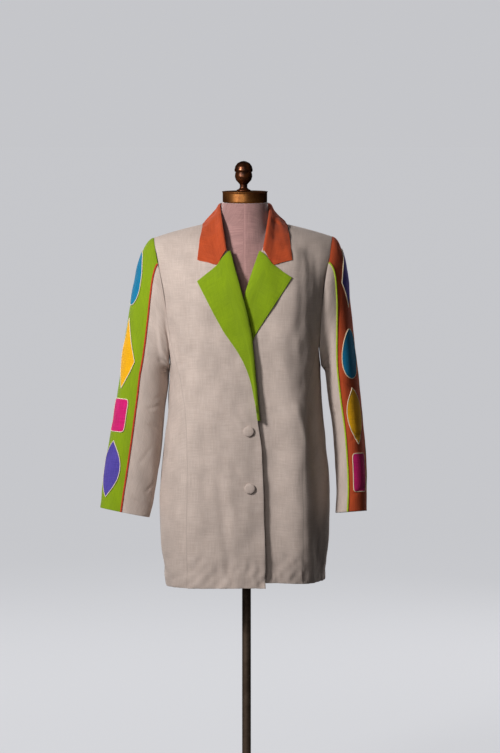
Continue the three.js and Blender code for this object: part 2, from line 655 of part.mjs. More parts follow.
// point of a sleeve's outer face: `turn` in degrees on the armhole, v from armhole 0 to cuff 1
function sleevePoint(kind, place, v) {
  const { side, rings, low } = sleeveParts[kind];
  const turn = place > 270 ? place - 360 : place;
  const first = rings[0];
  const last = rings[rings.length - 1];
  const ring = (z, angle) => {
    const read = (column) => along(rings, 'z', z, column);
    const half = (read('outer') - read('inner')) / 2;
    const middle = (read('outer') + read('inner')) / 2;
    const dx = half * Math.sin(angle * degrees);
    const dy = -read('deep') * Math.cos(angle * degrees);
    const up = read('tilt') * dx - read('pitch') * dy;
    return new THREE.Vector3(side * (middle + dx), read('midY') + dy, z + up);
  };
  if (v >= capShare) {
    const z = mix(first.z, last.z, (v - capShare) / (1 - capShare));
    return ring(z, sleeveTurn(turn, v, low));
  }
  const lift = liftOf(side);
  const back = turn > 90;
  const seam = armholePlace(side, turn, lift);
  const start = bodyPoint(seam.angle, Math.min(seam.k, 1), { lift });
  const rise = Math.sin(turn * degrees);
  const face = Math.cos(turn * degrees);
  start.x += side * armholeStep;
  const t = v / capShare;
  const end = ring(first.z, sleeveTurn(turn, capShare, low));
  const chord = end.distanceTo(start);
  const isTip = rise > 0;
  const outX = capLeave.out + (isTip ? capLeave.tipOut : capLeave.armOut) * rise;
  const upZ = capLeave.down + (isTip ? capLeave.tipUp : capLeave.armUp) * rise;
  const alongY = (back ? capLeave.along : -capLeave.along) * Math.abs(face);
  const leave = new THREE.Vector3(side * outX, alongY, upZ).normalize();
  const reach = isTip ? capReach.tip : capReach.arm;
  const arrive = new THREE.Vector3(side * capArrive.out, capArrive.front, -1).normalize();
  const p = start.clone().multiplyScalar((1 + 2 * t) * (1 - t) ** 2);
  p.addScaledVector(leave, chord * reach * t * (1 - t) ** 2);
  p.addScaledVector(end, t * t * (3 - 2 * t));
  p.addScaledVector(arrive, chord * capReach.end * t * t * (t - 1));
  return p;
}

const capRows = [0, 0.05, 0.12, 0.2, 0.28, 0.36];
const tubeRows = [0.42, 0.49, 0.56, 0.63, 0.7, 0.77, 0.84, 0.9, 0.95, 1];
const sleeveRows = [...capRows, ...tubeRows];

// outward normal and the direction down the sleeve at a place
function sleeveFrame(kind, turn, v) {
  const { side } = sleeveParts[kind];
  const around = sleevePoint(kind, turn + 0.5, v).sub(sleevePoint(kind, turn - 0.5, v));
  const lower = sleevePoint(kind, turn, Math.min(v + 0.004, 1));
  const down = lower.sub(sleevePoint(kind, turn, Math.max(v - 0.004, 0)));
  const normal = around.cross(down).multiplyScalar(-side).normalize();
  return { normal, down: down.normalize() };
}

function sleevePiece(kind, turns, name, material) {
  const { side } = sleeveParts[kind];
  const grid = sleeveRows.map((v) => turns.map((turn) => sleevePoint(kind, turn, v)));
  const normals = sleeveRows.map((v) => turns.map((turn) => sleeveFrame(kind, turn, v).normal));
  partSeams(grid, true, true, sleeveSeam);
  addPiece(coat, name, wallGeometry(grid, cloth.wall, side > 0, normals), material);
}

// piping over one of the band's two seams
const piping = { half: 2.1, high: 1.3, crown: 0.5, lay: 0.8, from: 0.012 };

function pipe(kind, turn, name, material) {
  const { side } = sleeveParts[kind];
  const frames = sleeveRows.map((row) => sleeveFrame(kind, turn, Math.max(row, piping.from)));
  const grid = sleeveRows.map((row, i) => {
    const { normal, down } = frames[i];
    const across = down.clone().cross(normal).multiplyScalar(side);
    const centre = sleevePoint(kind, turn, Math.max(row, piping.from));
    return [1, 0, -1].map((place) => centre.clone().addScaledVector(across, place * piping.half)
      .addScaledVector(normal, piping.lay + piping.high + piping.crown * (1 - Math.abs(place))));
  });
  const normals = frames.map(({ normal }) => [normal, normal, normal]);
  addPiece(coat, name, wallGeometry(grid, piping.high, side > 0, normals), material);
}

// applied patches: middle down the sleeve, half length, half width in degrees, powers of the outline
const patchHigh = 1.0;
const patchLay = 1.1;
const patchShapes = {
  disc: { along: 2, across: 2 },
  lozenge: { along: 1, across: 1 },
  almond: { along: 2, across: 1 },
  block: { along: 8, across: 8 },
};
const patches = {
  right: [
    { name: 'disc', shape: 'disc', colour: 'teal', v: 0.17, reach: 0.075, turn: 84, wide: 27 },
    { name: 'lozenge', shape: 'lozenge', colour: 'yellow', v: 0.38, reach: 0.105, turn: 82, wide: 29 },
    { name: 'block', shape: 'block', colour: 'magenta', v: 0.6, reach: 0.07, turn: 80, wide: 23 },
    { name: 'almond', shape: 'almond', colour: 'purple', v: 0.83, reach: 0.12, turn: 80, wide: 27 },
  ],
  left: [
    { name: 'lozenge', shape: 'lozenge', colour: 'purple', v: 0.17, reach: 0.08, turn: 84, wide: 27 },
    { name: 'disc', shape: 'disc', colour: 'teal', v: 0.37, reach: 0.07, turn: 80, wide: 27 },
    { name: 'almond', shape: 'almond', colour: 'yellow', v: 0.6, reach: 0.12, turn: 78, wide: 27 },
    { name: 'block', shape: 'block', colour: 'magenta', v: 0.84, reach: 0.08, turn: 78, wide: 23 },
  ],
};

function patch(kind, { name, shape, colour, v, reach, turn, wide }) {
  const { side } = sleeveParts[kind];
  const { along: lengthPower, across } = patchShapes[shape];
  const spots = gridRow(6, (share) => {
    const place = 2 * share - 1;
    const half = wide * Math.max(0.06, 1 - Math.abs(place) ** lengthPower) ** (1 / across);
    return gridRow(4, (u) => [turn + half * (2 * u - 1), v + reach * place]);
  });
  const normals = spots.map((row) => row.map((spot) => sleeveFrame(kind, ...spot).normal));
  const grid = spots.map((row, r) => row.map((spot, c) =>
    sleevePoint(kind, ...spot).addScaledVector(normals[r][c], patchLay + patchHigh)));
  addPiece(coat, `patch_${kind}_${name}`, wallGeometry(grid, patchHigh, side > 0, normals), finish[colour]);
}

function sleeve(kind) {
  const { cloth: bandCloth, trim } = sleeveParts[kind];
  const back = ringAngles.map((turn) => 180 - turn).reverse().slice(1);
  const all = [...ringAngles, ...back];
  const bandTurns = all.filter((turn) => turn >= band.topFront && turn <= band.topBack);
  const linenTurns = [
    ...all.filter((turn) => turn >= band.topBack),
    ...all.filter((turn) => turn <= band.topFront && turn > -90).map((turn) => turn + 360),
  ];
  sleevePiece(kind, linenTurns, `sleeve_${kind}`, finish.linen);
  sleevePiece(kind, bandTurns, `sleeve_band_${kind}`, finish[bandCloth]);
  pipe(kind, band.topFront, `piping_front_${kind}`, finish[trim]);
  pipe(kind, band.topBack, `piping_back_${kind}`, finish[trim]);
  patches[kind].forEach((row) => patch(kind, row));
}

// Turned and round pieces
function lathe(profile, segments) {
  const points = profile.map(({ r, z }) => new THREE.Vector2(r, z));
  const geometry = new THREE.LatheGeometry(points, segments);
  geometry.rotateX(Math.PI / 2);
  return geometry;
}

// covered button: a flat back with a short shank towards the cloth, and a domed face
function addButton({ name, x, z }) {
  const { radius, dome, rim, shankRadius, shank } = button;
  const domeRows = [0, 0.35, 0.65, 0.88, 1].map((share) => ({
    r: radius * Math.cos(share * 90 * degrees), z: shank + rim + dome * Math.sin(share * 90 * degrees),
  }));
  domeRows[domeRows.length - 1].r = 0;
  const profile = [
    { r: 0, z: 0 }, { r: shankRadius, z: 0 }, { r: shankRadius, z: shank },
    { r: radius, z: shank }, ...domeRows,
  ];
  const geometry = lathe(profile, 16);
  geometry.rotateX(Math.PI / 2);
  const seat = above(x, z, cloth.lay);
  const mesh = addPiece(coat, name, geometry, finish.linen);
  mesh.position.copy(seat);
}

// Dress form
// closed body through rings of superellipses, capped flat at both ends
function ringBody(rings, segments, power) {
  const positions = [];
  const index = [];
  rings.forEach(({ z, half, front, back, midY = 0, sharp = power }) => {
    for (let i = 0; i < segments; i += 1) {
      const turn = (i / segments) * 2 * Math.PI;
      const deep = Math.cos(turn) > 0 ? front : back;
      const s = Math.sin(turn);
      const c = Math.cos(turn);
      const reach = (Math.abs(s / half) ** sharp + Math.abs(c / deep) ** sharp) ** (-1 / sharp);
      positions.push(reach * s, midY - reach * c, z);
    }
  });
  const last = (rings.length - 1) * segments;
  const bottom = positions.length / 3;
  positions.push(0, 0, rings[0].z, 0, 0, rings[rings.length - 1].z);
  for (let i = 0; i < segments; i += 1) {
    const next = (i + 1) % segments;
    for (let r = 0; r < rings.length - 1; r += 1) {
      const low = r * segments;
      const high = low + segments;
      index.push(low + i, low + next, high + next, low + i, high + next, high + i);
    }
    index.push(bottom, next, i, bottom + 1, last + i, last + next);
  }
  const geometry = new THREE.BufferGeometry();
  geometry.setAttribute('position', new THREE.Float32BufferAttribute(positions, 3));
  geometry.setIndex(index);
  return geometry;
}

// depth that a shoulder ring may have and still clear the coat's inner face
function roomInCoat(half, z, sharp, isFront) {
  let room = 90;
  for (let share = 0.05; share < 0.94; share += 0.05) {
    const x = half * share;
    if (!isFront || x > neckline.half - 14) {
      const face = above(x, z + cloth.wall + formRoom, 0, { isFront }).y - shoulder.ridgeY;
      room = Math.min(room, Math.abs(face) / (1 - share ** sharp) ** (1 / sharp));
    }
  }
  return room * formSlim;
}

function solid(geometry) {
  const merged = mergeVertices(geometry);
  const { position } = merged.attributes;
  const mesh = new wasm.Mesh({
    numProp: 3,
    vertProperties: new Float32Array(position.array),
    triVerts: new Uint32Array(merged.index.array),
  });
  return new wasm.Manifold(mesh);
}

function dressForm() {
  const sharp = formSharp.shoulder;
  const shoulders = formShoulder.map((half) => {
    const z = ridgeHeight(half) - cloth.wall - formSeat - Math.max(0, half - 110) * formShoulderDrop;
    const front = roomInCoat(half, z, sharp, true);
    const back = roomInCoat(half, z, sharp, false);
    return { z, half, front, back, midY: shoulder.ridgeY, sharp };
  });
  const top = shoulders[shoulders.length - 1];
  const end = { ...top, z: top.z + 1, half: 30, front: top.front * 0.5, back: top.back * 0.5 };
  const torso = solid(ringBody([...formRings, ...shoulders, end], formFacets, formSharp.torso));
  const neck = solid(ringBody(formNeck, formFacets, formSharp.neck));
  const { vertProperties, triVerts } = torso.add(neck).getMesh();
  const geometry = new THREE.BufferGeometry();
  geometry.setAttribute('position', new THREE.Float32BufferAttribute(vertProperties, 3));
  geometry.setIndex([...triVerts]);
  addPiece(coat, 'form_torso', geometry, finish.formCloth);
  const { radius, height, lip, bottom } = neckCap;
  const cap = addPiece(coat, 'neck_cap', lathe([
    { r: 0, z: 0 }, { r: radius - 1.2, z: 0 }, { r: radius, z: 1.2 }, { r: radius, z: height - lip - 1 },
    { r: radius + lip, z: height - lip }, { r: radius + lip, z: height - 0.8 },
    { r: radius + lip - 1.2, z: height }, { r: 0, z: height },
  ], 28), finish.bronze);
  cap.position.z = bottom;
  const acorn = addPiece(coat, 'finial', lathe(finialProfile, 16), finish.bronze);
  acorn.position.set(finialShift, 0, bottom + height + restGap);
  const poleLength = pole.top - pole.bottom;
  const rod = addPiece(stand, 'pole', lathe([
    { r: 0, z: 0 }, { r: pole.radius, z: 0 }, { r: pole.radius, z: poleLength }, { r: 0, z: poleLength },
  ], 20), finish.poleMetal);
  rod.position.z = pole.bottom;
  const plateLow = socket.height - socket.plate;
  const flange = addPiece(stand, 'pole_socket', lathe([
    { r: 0, z: 0 }, { r: socket.radius * 0.5, z: 0 }, { r: socket.radius * 0.6, z: plateLow },
    { r: socket.plateRadius, z: plateLow }, { r: socket.plateRadius, z: socket.height },
    { r: 0, z: socket.height },
  ], 20), finish.poleMetal);
  flange.position.z = pole.top + restGap;
  addPiece(stand, 'foot', lathe([
    { r: 0, z: 0 }, { r: foot.radius - 2, z: 0 }, { r: foot.radius, z: 2 }, { r: foot.radius, z: foot.edge },
    { r: foot.radius * 0.86, z: foot.edge + 6 }, { r: foot.radius * 0.4, z: foot.height - 4 },
    { r: foot.hub + 6, z: foot.height }, { r: foot.hub, z: foot.height + 4 },
    { r: foot.hub, z: foot.hubHeight - 2 }, { r: foot.hub - 2, z: foot.hubHeight },
    { r: 0, z: foot.hubHeight },
  ], 32), finish.poleMetal);
}

frontPanel(-1, 'front_right');
frontPanel(1, 'front_left');
sideFront(-1, 'side_front_right');
sideFront(1, 'side_front_left');
backPanel('back');
lapel(-1, 'lapel_right');
lapel(1, 'lapel_left');
collar('collar');
sleeve('right');
sleeve('left');
buttons.forEach(addButton);
dressForm();

const blazer = new THREE.Group();
blazer.add(coat, stand);
export default blazer;
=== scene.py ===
import bpy
import numpy as np
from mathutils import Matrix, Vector


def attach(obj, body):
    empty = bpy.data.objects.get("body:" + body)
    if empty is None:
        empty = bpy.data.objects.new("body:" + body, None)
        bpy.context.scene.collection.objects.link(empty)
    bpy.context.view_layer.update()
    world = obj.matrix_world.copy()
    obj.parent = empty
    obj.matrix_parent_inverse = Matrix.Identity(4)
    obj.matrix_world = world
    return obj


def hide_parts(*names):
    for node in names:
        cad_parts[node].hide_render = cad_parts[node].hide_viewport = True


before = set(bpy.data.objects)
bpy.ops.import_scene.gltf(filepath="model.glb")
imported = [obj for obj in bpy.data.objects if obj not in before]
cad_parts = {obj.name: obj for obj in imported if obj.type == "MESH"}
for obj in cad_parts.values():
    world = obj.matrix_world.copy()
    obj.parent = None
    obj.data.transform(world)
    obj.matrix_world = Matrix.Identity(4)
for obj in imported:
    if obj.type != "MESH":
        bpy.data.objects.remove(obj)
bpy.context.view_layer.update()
print("frame loaded")

view = {
    "target": (0.00805, 0.0, 1.049), "distance": 8.0, "elevation": 5.5, "lens": 166.3,
    "sensor": 36, "clipEnd": 60,
}


def aim(thing, spot, target):
    thing.location = spot
    thing.rotation_euler = (Vector(target) - Vector(spot)).to_track_quat("-Z", "Y").to_euler()
    bpy.context.scene.collection.objects.link(thing)


camera = bpy.data.objects.new("camera", bpy.data.cameras.new("camera"))
camera.data.lens = view["lens"]
camera.data.sensor_width = view["sensor"]
camera.data.clip_end = view["clipEnd"]
tilt = np.radians(view["elevation"])
behind = Vector((0, -np.cos(tilt), np.sin(tilt))) * view["distance"]
aim(camera, Vector(view["target"]) + behind, view["target"])
bpy.context.scene.camera = camera

studio = {
    "keyPlace": (-1.62, -1.75, 2.2),
    "keySize": 0.5,
    "keyPower": 70,
    "fillPlace": (-0.7, -3.2, 2.2),
    "fillSize": 1.6,
    "fillPower": 19,
    "rimPlace": (-1.6, 2.6, 2.2),
    "rimSize": 1.6,
    "rimPower": 70,
    "backPlace": (1.5, 2.8, 1.9),
    "backSize": 1.8,
    "backPower": 70,
    "ambient": 0.035,
    "backdrop": (0.56, 0.565, 0.59),
    "floor": (0.09, 0.09, 0.093),
    "floorShade": 0.97,
    "floorCloud": 1.5,
    "floorDetail": 3.0,
    "floorRough": 0.9,
    "floorGlow": 1.0,
    "floorSize": 120,
    "aim": (0, 0, 1.05),
}
bpy.context.scene.view_settings.view_transform = "Standard"


def addLight(name, spot, size, power, mirrored):
    light = bpy.data.lights.new(name, "AREA")
    light.shape = "DISK"
    light.size = size
    light.energy = power
    lamp = bpy.data.objects.new(name, light)
    lamp.visible_glossy = mirrored
    aim(lamp, spot, studio["aim"])


for name, mirrored in {"key": True, "fill": True, "rim": False, "back": False}.items():
    addLight(name, studio[name + "Place"], studio[name + "Size"], studio[name + "Power"], mirrored)


def link(tree, value, socket):
    if isinstance(value, bpy.types.NodeSocket):
        tree.links.new(value, socket)
    else:
        socket.default_value = value


def put(tree, kind, inputs=None, **settings):
    node = tree.nodes.new(kind)
    for key, value in settings.items():
        setattr(node, key, value)
    for key, value in (inputs or {}).items():
        link(tree, value, node.inputs[key])
    return node


def sums(tree, operation, *values):  # one Math node
    node = put(tree, "ShaderNodeMath", operation=operation)
    for i, value in enumerate(values):
        link(tree, value, node.inputs[i])
    return node.outputs[0]


def blendOf(tree, factor, a, b, kind="RGBA"):
    node = put(tree, "ShaderNodeMix", data_type=kind)
    first = {"RGBA": 6, "FLOAT": 2}[kind]
    link(tree, factor, node.inputs[0])
    link(tree, a, node.inputs[first])
    link(tree, b, node.inputs[first + 1])
    return node.outputs[{"RGBA": 2, "FLOAT": 0}[kind]]


def ranged(tree, value, low, high, outLow=0.0, outHigh=1.0):
    node = put(tree, "ShaderNodeMapRange", interpolation_type="SMOOTHSTEP")
    keys = ("Value", "From Min", "From Max", "To Min", "To Max")
    for key, item in zip(keys, (value, low, high, outLow, outHigh)):
        link(tree, item, node.inputs[key])
    return node.outputs[0]


def groupOf(name, inputs, outputs):
    tree = bpy.data.node_groups.new(name, "ShaderNodeTree")
    for socket, kind, value in inputs:
        made = tree.interface.new_socket(socket, in_out="INPUT", socket_type="NodeSocket" + kind)
        if value is not None:
            made.default_value = value
    for socket in outputs:
        tree.interface.new_socket(socket, in_out="OUTPUT", socket_type="NodeSocketFloat")
    entry = tree.nodes.new("NodeGroupInput")
    leave = tree.nodes.new("NodeGroupOutput")
    return tree, entry.outputs, leave.inputs


def stretched(tree, vector, scales):
    return put(tree, "ShaderNodeVectorMath", {0: vector, 1: scales}, operation="MULTIPLY").outputs[0]


def noise(tree, vector, scale=1.0, detail=2.0, roughness=0.5):
    inputs = {"Vector": vector, "Scale": scale, "Detail": detail, "Roughness": roughness}
    return put(tree, "ShaderNodeTexNoise", inputs).outputs[0]


weaveShape = {
    "wander": 260.0, "shift": 4.0, "slubLong": 26.0, "slubFine": 620.0, "slubDetail": 3.0,
    "mottle": (16.0, 4.0, 0.6),  # scale, detail and roughness
}


def makeWeave():  # plain weave of uneven threads, read from cloth coordinates in metres
    tree, given, out = groupOf(
        "plainWeave",
        [("Vector", "Vector", None), ("Pitch", "Float", 0.0008), ("Wander", "Float", 0.25)],
        ["Height", "Slub", "Mottle"],
    )
    long, fine, shift = weaveShape["slubLong"], weaveShape["slubFine"], weaveShape["shift"]
    detail = weaveShape["slubDetail"]
    size = sums(tree, "DIVIDE", 1.0, given["Pitch"])
    threads = put(tree, "ShaderNodeVectorMath", {0: given["Vector"], 3: size}, operation="SCALE").outputs[0]
    wander = noise(tree, given["Vector"], weaveShape["wander"])
    wander = sums(tree, "MULTIPLY", sums(tree, "SUBTRACT", wander, 0.5), given["Wander"])
    parts = put(tree, "ShaderNodeSeparateXYZ", {0: threads}).outputs
    across = sums(tree, "ADD", parts[0], sums(tree, "MULTIPLY", wander, shift))
    down = sums(tree, "ADD", parts[1], sums(tree, "MULTIPLY", wander, -shift))
    turns = [sums(tree, "MULTIPLY", sums(tree, "FRACT", x), np.pi) for x in (across, down)]
    swell = [sums(tree, "SINE", x) for x in turns]
    cells = sums(tree, "ADD", sums(tree, "FLOOR", across), sums(tree, "FLOOR", down))
    over = sums(tree, "GREATER_THAN", sums(tree, "FRACT", sums(tree, "MULTIPLY", cells, 0.5)), 0.25)
    link(tree, blendOf(tree, over, swell[0], swell[1], "FLOAT"), out["Height"])
    upright = noise(tree, stretched(tree, given["Vector"], (fine, long, 0.0)), detail=detail)
    level = noise(tree, stretched(tree, given["Vector"], (long, fine, 0.0)), detail=detail)
    link(tree, sums(tree, "MULTIPLY", sums(tree, "ADD", upright, level), 0.5), out["Slub"])
    link(tree, noise(tree, given["Vector"], *weaveShape["mottle"]), out["Mottle"])
    return tree


stitchShape = {"thread": (0.0003, 0.0006), "dash": (0.34, 0.42), "groove": (0.0005, 0.0016)}


def makeStitch():  # a row of stitches at a distance from an edge
    tree, given, out = groupOf(
        "stitchRow",
        [
            ("Distance", "Float", 0.0), ("Along", "Float", 0.0),
            ("Offset", "Float", 0.005), ("Pitch", "Float", 0.003),
        ],
        ["Thread", "Groove"],
    )
    away = sums(tree, "ABSOLUTE", sums(tree, "SUBTRACT", given["Distance"], given["Offset"]))
    line = ranged(tree, away, *stitchShape["thread"], 1.0, 0.0)
    dash = sums(tree, "FRACT", sums(tree, "DIVIDE", given["Along"], given["Pitch"]))
    middle = sums(tree, "ABSOLUTE", sums(tree, "SUBTRACT", dash, 0.5))
    shown = ranged(tree, middle, *stitchShape["dash"], 1.0, 0.0)
    link(tree, sums(tree, "MULTIPLY", line, shown), out["Thread"])
    link(tree, ranged(tree, away, *stitchShape["groove"], 1.0, 0.0), out["Groove"])
    return tree


patinaShape = {
    "mask": (0.38, 0.66), "cloud": (5.0, 0.65), "scratch": (60.0, 60.0, 900.0), "scratchDetail": 2.0,
    "duller": 0.16, "bumpDistance": 0.0002,
}


def makePatina():  # darker and brighter clouds of aged turned metal, spread at random, and fine scratches
    tree, given, out = groupOf(
        "agedMetal", [("Vector", "Vector", None), ("Scale", "Float", 30.0)], ["Mask", "Scratch"]
    )
    cloud = noise(tree, given["Vector"], given["Scale"], *patinaShape["cloud"])
    link(tree, ranged(tree, cloud, *patinaShape["mask"]), out["Mask"])
    scratch = stretched(tree, given["Vector"], patinaShape["scratch"])
    link(tree, noise(tree, scratch, detail=patinaShape["scratchDetail"]), out["Scratch"])
    return tree


weaveGroup, stitchGroup, patinaGroup = makeWeave(), makeStitch(), makePatina()


def linear(code):  # "#rrggbb" to the colour that a shader takes
    parts = [int(code[i : i + 2], 16) / 255 for i in (1, 3, 5)]
    return tuple(x / 12.92 if x <= 0.04045 else ((x + 0.055) / 1.055) ** 2.4 for x in parts) + (1.0,)


def useGroup(tree, group, inputs):
    node = put(tree, "ShaderNodeGroup", node_tree=group)
    for key, value in inputs.items():
        link(tree, value, node.inputs[key])
    return node.outputs


def newMaterial(name):
    material = bpy.data.materials.new(name)
    material.use_nodes = True
    return material, material.node_tree, material.node_tree.nodes["Principled BSDF"]


clothShade = {  # limits between which a mask turns into a shade, and heights in the bump
    "slub": (0.36, 0.64), "mottle": (0.3, 0.72), "mottleUp": 0.4, "gap": (0.0, 0.8), "seam": (0.0, 0.0022),
    "rub": (0.0004, 0.0028), "rough": (0.3, 0.7), "roughSpread": (-0.06, 0.05), "weaveHigh": 0.6,
    "stitchTint": 0.7, "stitchHigh": 1.4, "groove": 1.6, "bumpDistance": 0.0004, "sheenRough": 0.5,
}


def makeCloth(name, look):
    material, tree, shader = newMaterial(name)
    spot = put(tree, "ShaderNodeUVMap", uv_map="cloth").outputs[0]
    weave = useGroup(tree, weaveGroup, {"Vector": spot, "Pitch": look["pitch"]})
    edge = put(tree, "ShaderNodeAttribute", attribute_name="edge").outputs["Fac"]
    seam = put(tree, "ShaderNodeAttribute", attribute_name="seam").outputs["Fac"]
    slub = ranged(tree, weave["Slub"], *clothShade["slub"])
    thread = blendOf(tree, slub, linear(look["dark"]), linear(look["light"]))
    light = 1.0 + look["mottle"] * clothShade["mottleUp"]
    mottle = ranged(tree, weave["Mottle"], *clothShade["mottle"], 1.0 - look["mottle"], light)
    # painted shade: the cloth is darker in the low gaps between the threads
    gap = ranged(tree, weave["Height"], *clothShade["gap"], 1.0 - look["threadGapShade"], 1.0)
    shade = sums(tree, "MULTIPLY", mottle, gap)
    # painted shade along seams, darker on the linen; the form cloth's negative seamShade makes its seams
    # lighter instead
    seamPaintedShade = ranged(tree, seam, *clothShade["seam"], 1.0 - look["seamShade"], 1.0)
    shade = sums(tree, "MULTIPLY", shade, seamPaintedShade)
    rubbed = sums(tree, "MULTIPLY", ranged(tree, edge, *clothShade["rub"], 1.0, 0.0), weave["Mottle"])
    colour = put(tree, "ShaderNodeVectorMath", {0: thread, 3: shade}, operation="SCALE").outputs[0]
    colour = blendOf(tree, sums(tree, "MULTIPLY", rubbed, look["wear"]), colour, linear(look["worn"]))
    high = sums(tree, "MULTIPLY", weave["Height"], clothShade["weaveHigh"])
    height = sums(tree, "ADD", high, weave["Slub"])
    if look.get("stitch"):
        ways = put(tree, "ShaderNodeSeparateXYZ", {0: spot}).outputs
        rows = {"Distance": edge, "Along": sums(tree, "ADD", ways[0], ways[1]), "Offset": look["stitch"]}
        stitch = useGroup(tree, stitchGroup, rows)
        tint = sums(tree, "MULTIPLY", stitch["Thread"], clothShade["stitchTint"])
        colour = blendOf(tree, tint, colour, linear(look["threadColour"]))
        groove = sums(tree, "MULTIPLY", stitch["Groove"], clothShade["groove"])
        height = sums(tree, "SUBTRACT", height, groove)
        height = sums(tree, "ADD", height, sums(tree, "MULTIPLY", stitch["Thread"], clothShade["stitchHigh"]))
    smooth, coarse = (look["rough"] + x for x in clothShade["roughSpread"])
    rough = ranged(tree, weave["Mottle"], *clothShade["rough"], smooth, min(coarse, 1.0))
    distance = clothShade["bumpDistance"]
    bump = put(tree, "ShaderNodeBump", {"Height": height, "Strength": look["bump"], "Distance": distance})
    link(tree, colour, shader.inputs["Base Color"])
    link(tree, rough, shader.inputs["Roughness"])
    link(tree, bump.outputs[0], shader.inputs["Normal"])
    shader.inputs["Specular IOR Level"].default_value = look["gloss"]
    shader.inputs["Sheen Weight"].default_value = look["sheen"]
    shader.inputs["Sheen Roughness"].default_value = clothShade["sheenRough"]
    return material


clothBasis = {
    "pitch": 0.0009, "mottle": 0.10, "threadGapShade": 0.14, "seamShade": 0.28, "wear": 0.3, "bump": 0.4,
    "rough": 0.9, "gloss": 0.25, "sheen": 0.12, "threadColour": "#d8cbb8", "worn": "#e2d8cc",
}
trimBasis = clothBasis | {"pitch": 0.0006, "wear": 0.2}
patchBasis = clothBasis | {"pitch": 0.0007, "mottle": 0.06}
looks = {
    "linen": clothBasis | {"light": "#c9b8ae", "dark": "#bcaa9f", "seamShade": 0.16},
    "bandOrange": clothBasis | {"light": "#bf4f26", "dark": "#ac421c", "worn": "#cc6438"},
    "bandGreen": clothBasis | {"light": "#86a00c", "dark": "#7a9406", "worn": "#93ad28", "mottle": 0.08},
    "lime": trimBasis | {"light": "#b4c830", "dark": "#98ad20", "worn": "#c4d450"},
    "red": trimBasis | {"light": "#c8452a", "dark": "#a8331c", "worn": "#d25a3a"},
    "yellow": patchBasis | {"light": "#f4b400", "dark": "#e0a000", "worn": "#f4c030"},
    "magenta": patchBasis | {"light": "#d81c74", "dark": "#bc1260", "worn": "#dc3c84"},
    "purple": patchBasis | {"light": "#584aa6", "dark": "#463a90", "worn": "#6c5eb2"},
    "teal": patchBasis | {"light": "#007ea8", "dark": "#006a90", "worn": "#2088ac"},
    "cream": clothBasis | {
        "light": "#efe2c4", "dark": "#d9c8a2", "worn": "#f4ecd8", "pitch": 0.0005, "wear": 0.1,
    },
    "formCloth": clothBasis | {
        "light": "#b28883", "dark": "#9c7672", "worn": "#b4928c", "seamShade": -0.25, "pitch": 0.0007,
        "sheen": 0.5, "rough": 0.95, "mottle": 0.16, "bump": 0.2,
    },
}
looks["orange"] = looks["bandOrange"] | {"stitch": 0.0035, "threadColour": "#a03c1c"}
looks["green"] = looks["bandGreen"] | {"stitch": 0.0035, "threadColour": "#6d8a0c"}
materials = {name: makeCloth(name, look) for name, look in looks.items()}


def makeMetal(name, look):
    material, tree, shader = newMaterial(name)
    spot = put(tree, "ShaderNodeTexCoord").outputs["Object"]
    aged = useGroup(tree, patinaGroup, {"Vector": spot, "Scale": look["cloud"]})
    colour = blendOf(tree, aged["Mask"], linear(look["dark"]), linear(look["bright"]))
    dull = look["rough"] + patinaShape["duller"]
    rough = blendOf(tree, aged["Mask"], dull, look["rough"], "FLOAT")
    settings = {"Height": aged["Scratch"], "Strength": look["bump"], "Distance": patinaShape["bumpDistance"]}
    bump = put(tree, "ShaderNodeBump", settings)
    link(tree, colour, shader.inputs["Base Color"])
    link(tree, rough, shader.inputs["Roughness"])
    link(tree, bump.outputs[0], shader.inputs["Normal"])
    shader.inputs["Metallic"].default_value = look["metallic"]
    return material


metalKeys = ("bright", "dark", "rough", "metallic", "bump", "cloud")
metalLooks = {
    "bronze": ("#b9793f", "#6e4322", 0.30, 0.9, 0.3, 26.0),
    "finial": ("#6b3a1c", "#33190c", 0.24, 0.7, 0.25, 60.0),
    "poleMetal": ("#84705f", "#5a4a3d", 0.4, 0.85, 0.3, 20.0),
}
for name, row in metalLooks.items():
    materials[name] = makeMetal(name, dict(zip(metalKeys, row)))


def makeFloor():
    material, tree, shader = newMaterial("floor")
    spot = put(tree, "ShaderNodeTexCoord").outputs["Object"]
    cloud = noise(tree, spot, studio["floorCloud"], studio["floorDetail"])
    low = tuple(x * studio["floorShade"] for x in studio["floor"]) + (1.0,)
    link(tree, blendOf(tree, cloud, low, studio["floor"] + (1.0,)), shader.inputs["Base Color"])
    shader.inputs["Roughness"].default_value = studio["floorRough"]
    seen = put(tree, "ShaderNodeLightPath").outputs["Is Camera Ray"]
    shader.inputs["Emission Color"].default_value = studio["backdrop"] + (1.0,)
    link(tree, sums(tree, "MULTIPLY", seen, studio["floorGlow"]), shader.inputs["Emission Strength"])
    half = studio["floorSize"] / 2
    mesh = bpy.data.meshes.new("floor")
    corners = [(-half, -half, 0), (half, -half, 0), (half, half, 0), (-half, half, 0)]
    mesh.from_pydata(corners, [], [(0, 1, 2, 3)])
    mesh.materials.append(material)
    floor = bpy.data.objects.new("floor", mesh)
    bpy.context.scene.collection.objects.link(floor)


def makeWorld():
    world = bpy.data.worlds.new("studio")
    world.use_nodes = True
    tree = world.node_tree
    seen = put(tree, "ShaderNodeLightPath").outputs["Is Camera Ray"]
    strength = blendOf(tree, seen, studio["ambient"], 1.0, "FLOAT")
    background = tree.nodes["Background"]
    background.inputs[0].default_value = studio["backdrop"] + (1.0,)
    link(tree, strength, background.inputs[1])
    bpy.context.scene.world = world


makeFloor()
makeWorld()
print("studio and materials made")

rng = np.random.default_rng(7)


def ease(t):
    c = np.clip(t, 0, 1)
    return c * c * (3 - 2 * c)


def mix(a, b, t):
    return a + (b - a) * t


def tableOf(names, *rows):  # columns by name; the first is the key, ascending
    data = np.array(rows, float)
    data = data[np.argsort(data[:, 0], kind="stable")]
    return {name: data[:, i] for i, name in enumerate(names.split())}


def rowsOf(table):  # each row of a table as a dictionary
    return [dict(zip(table, row)) for row in zip(*table.values())]


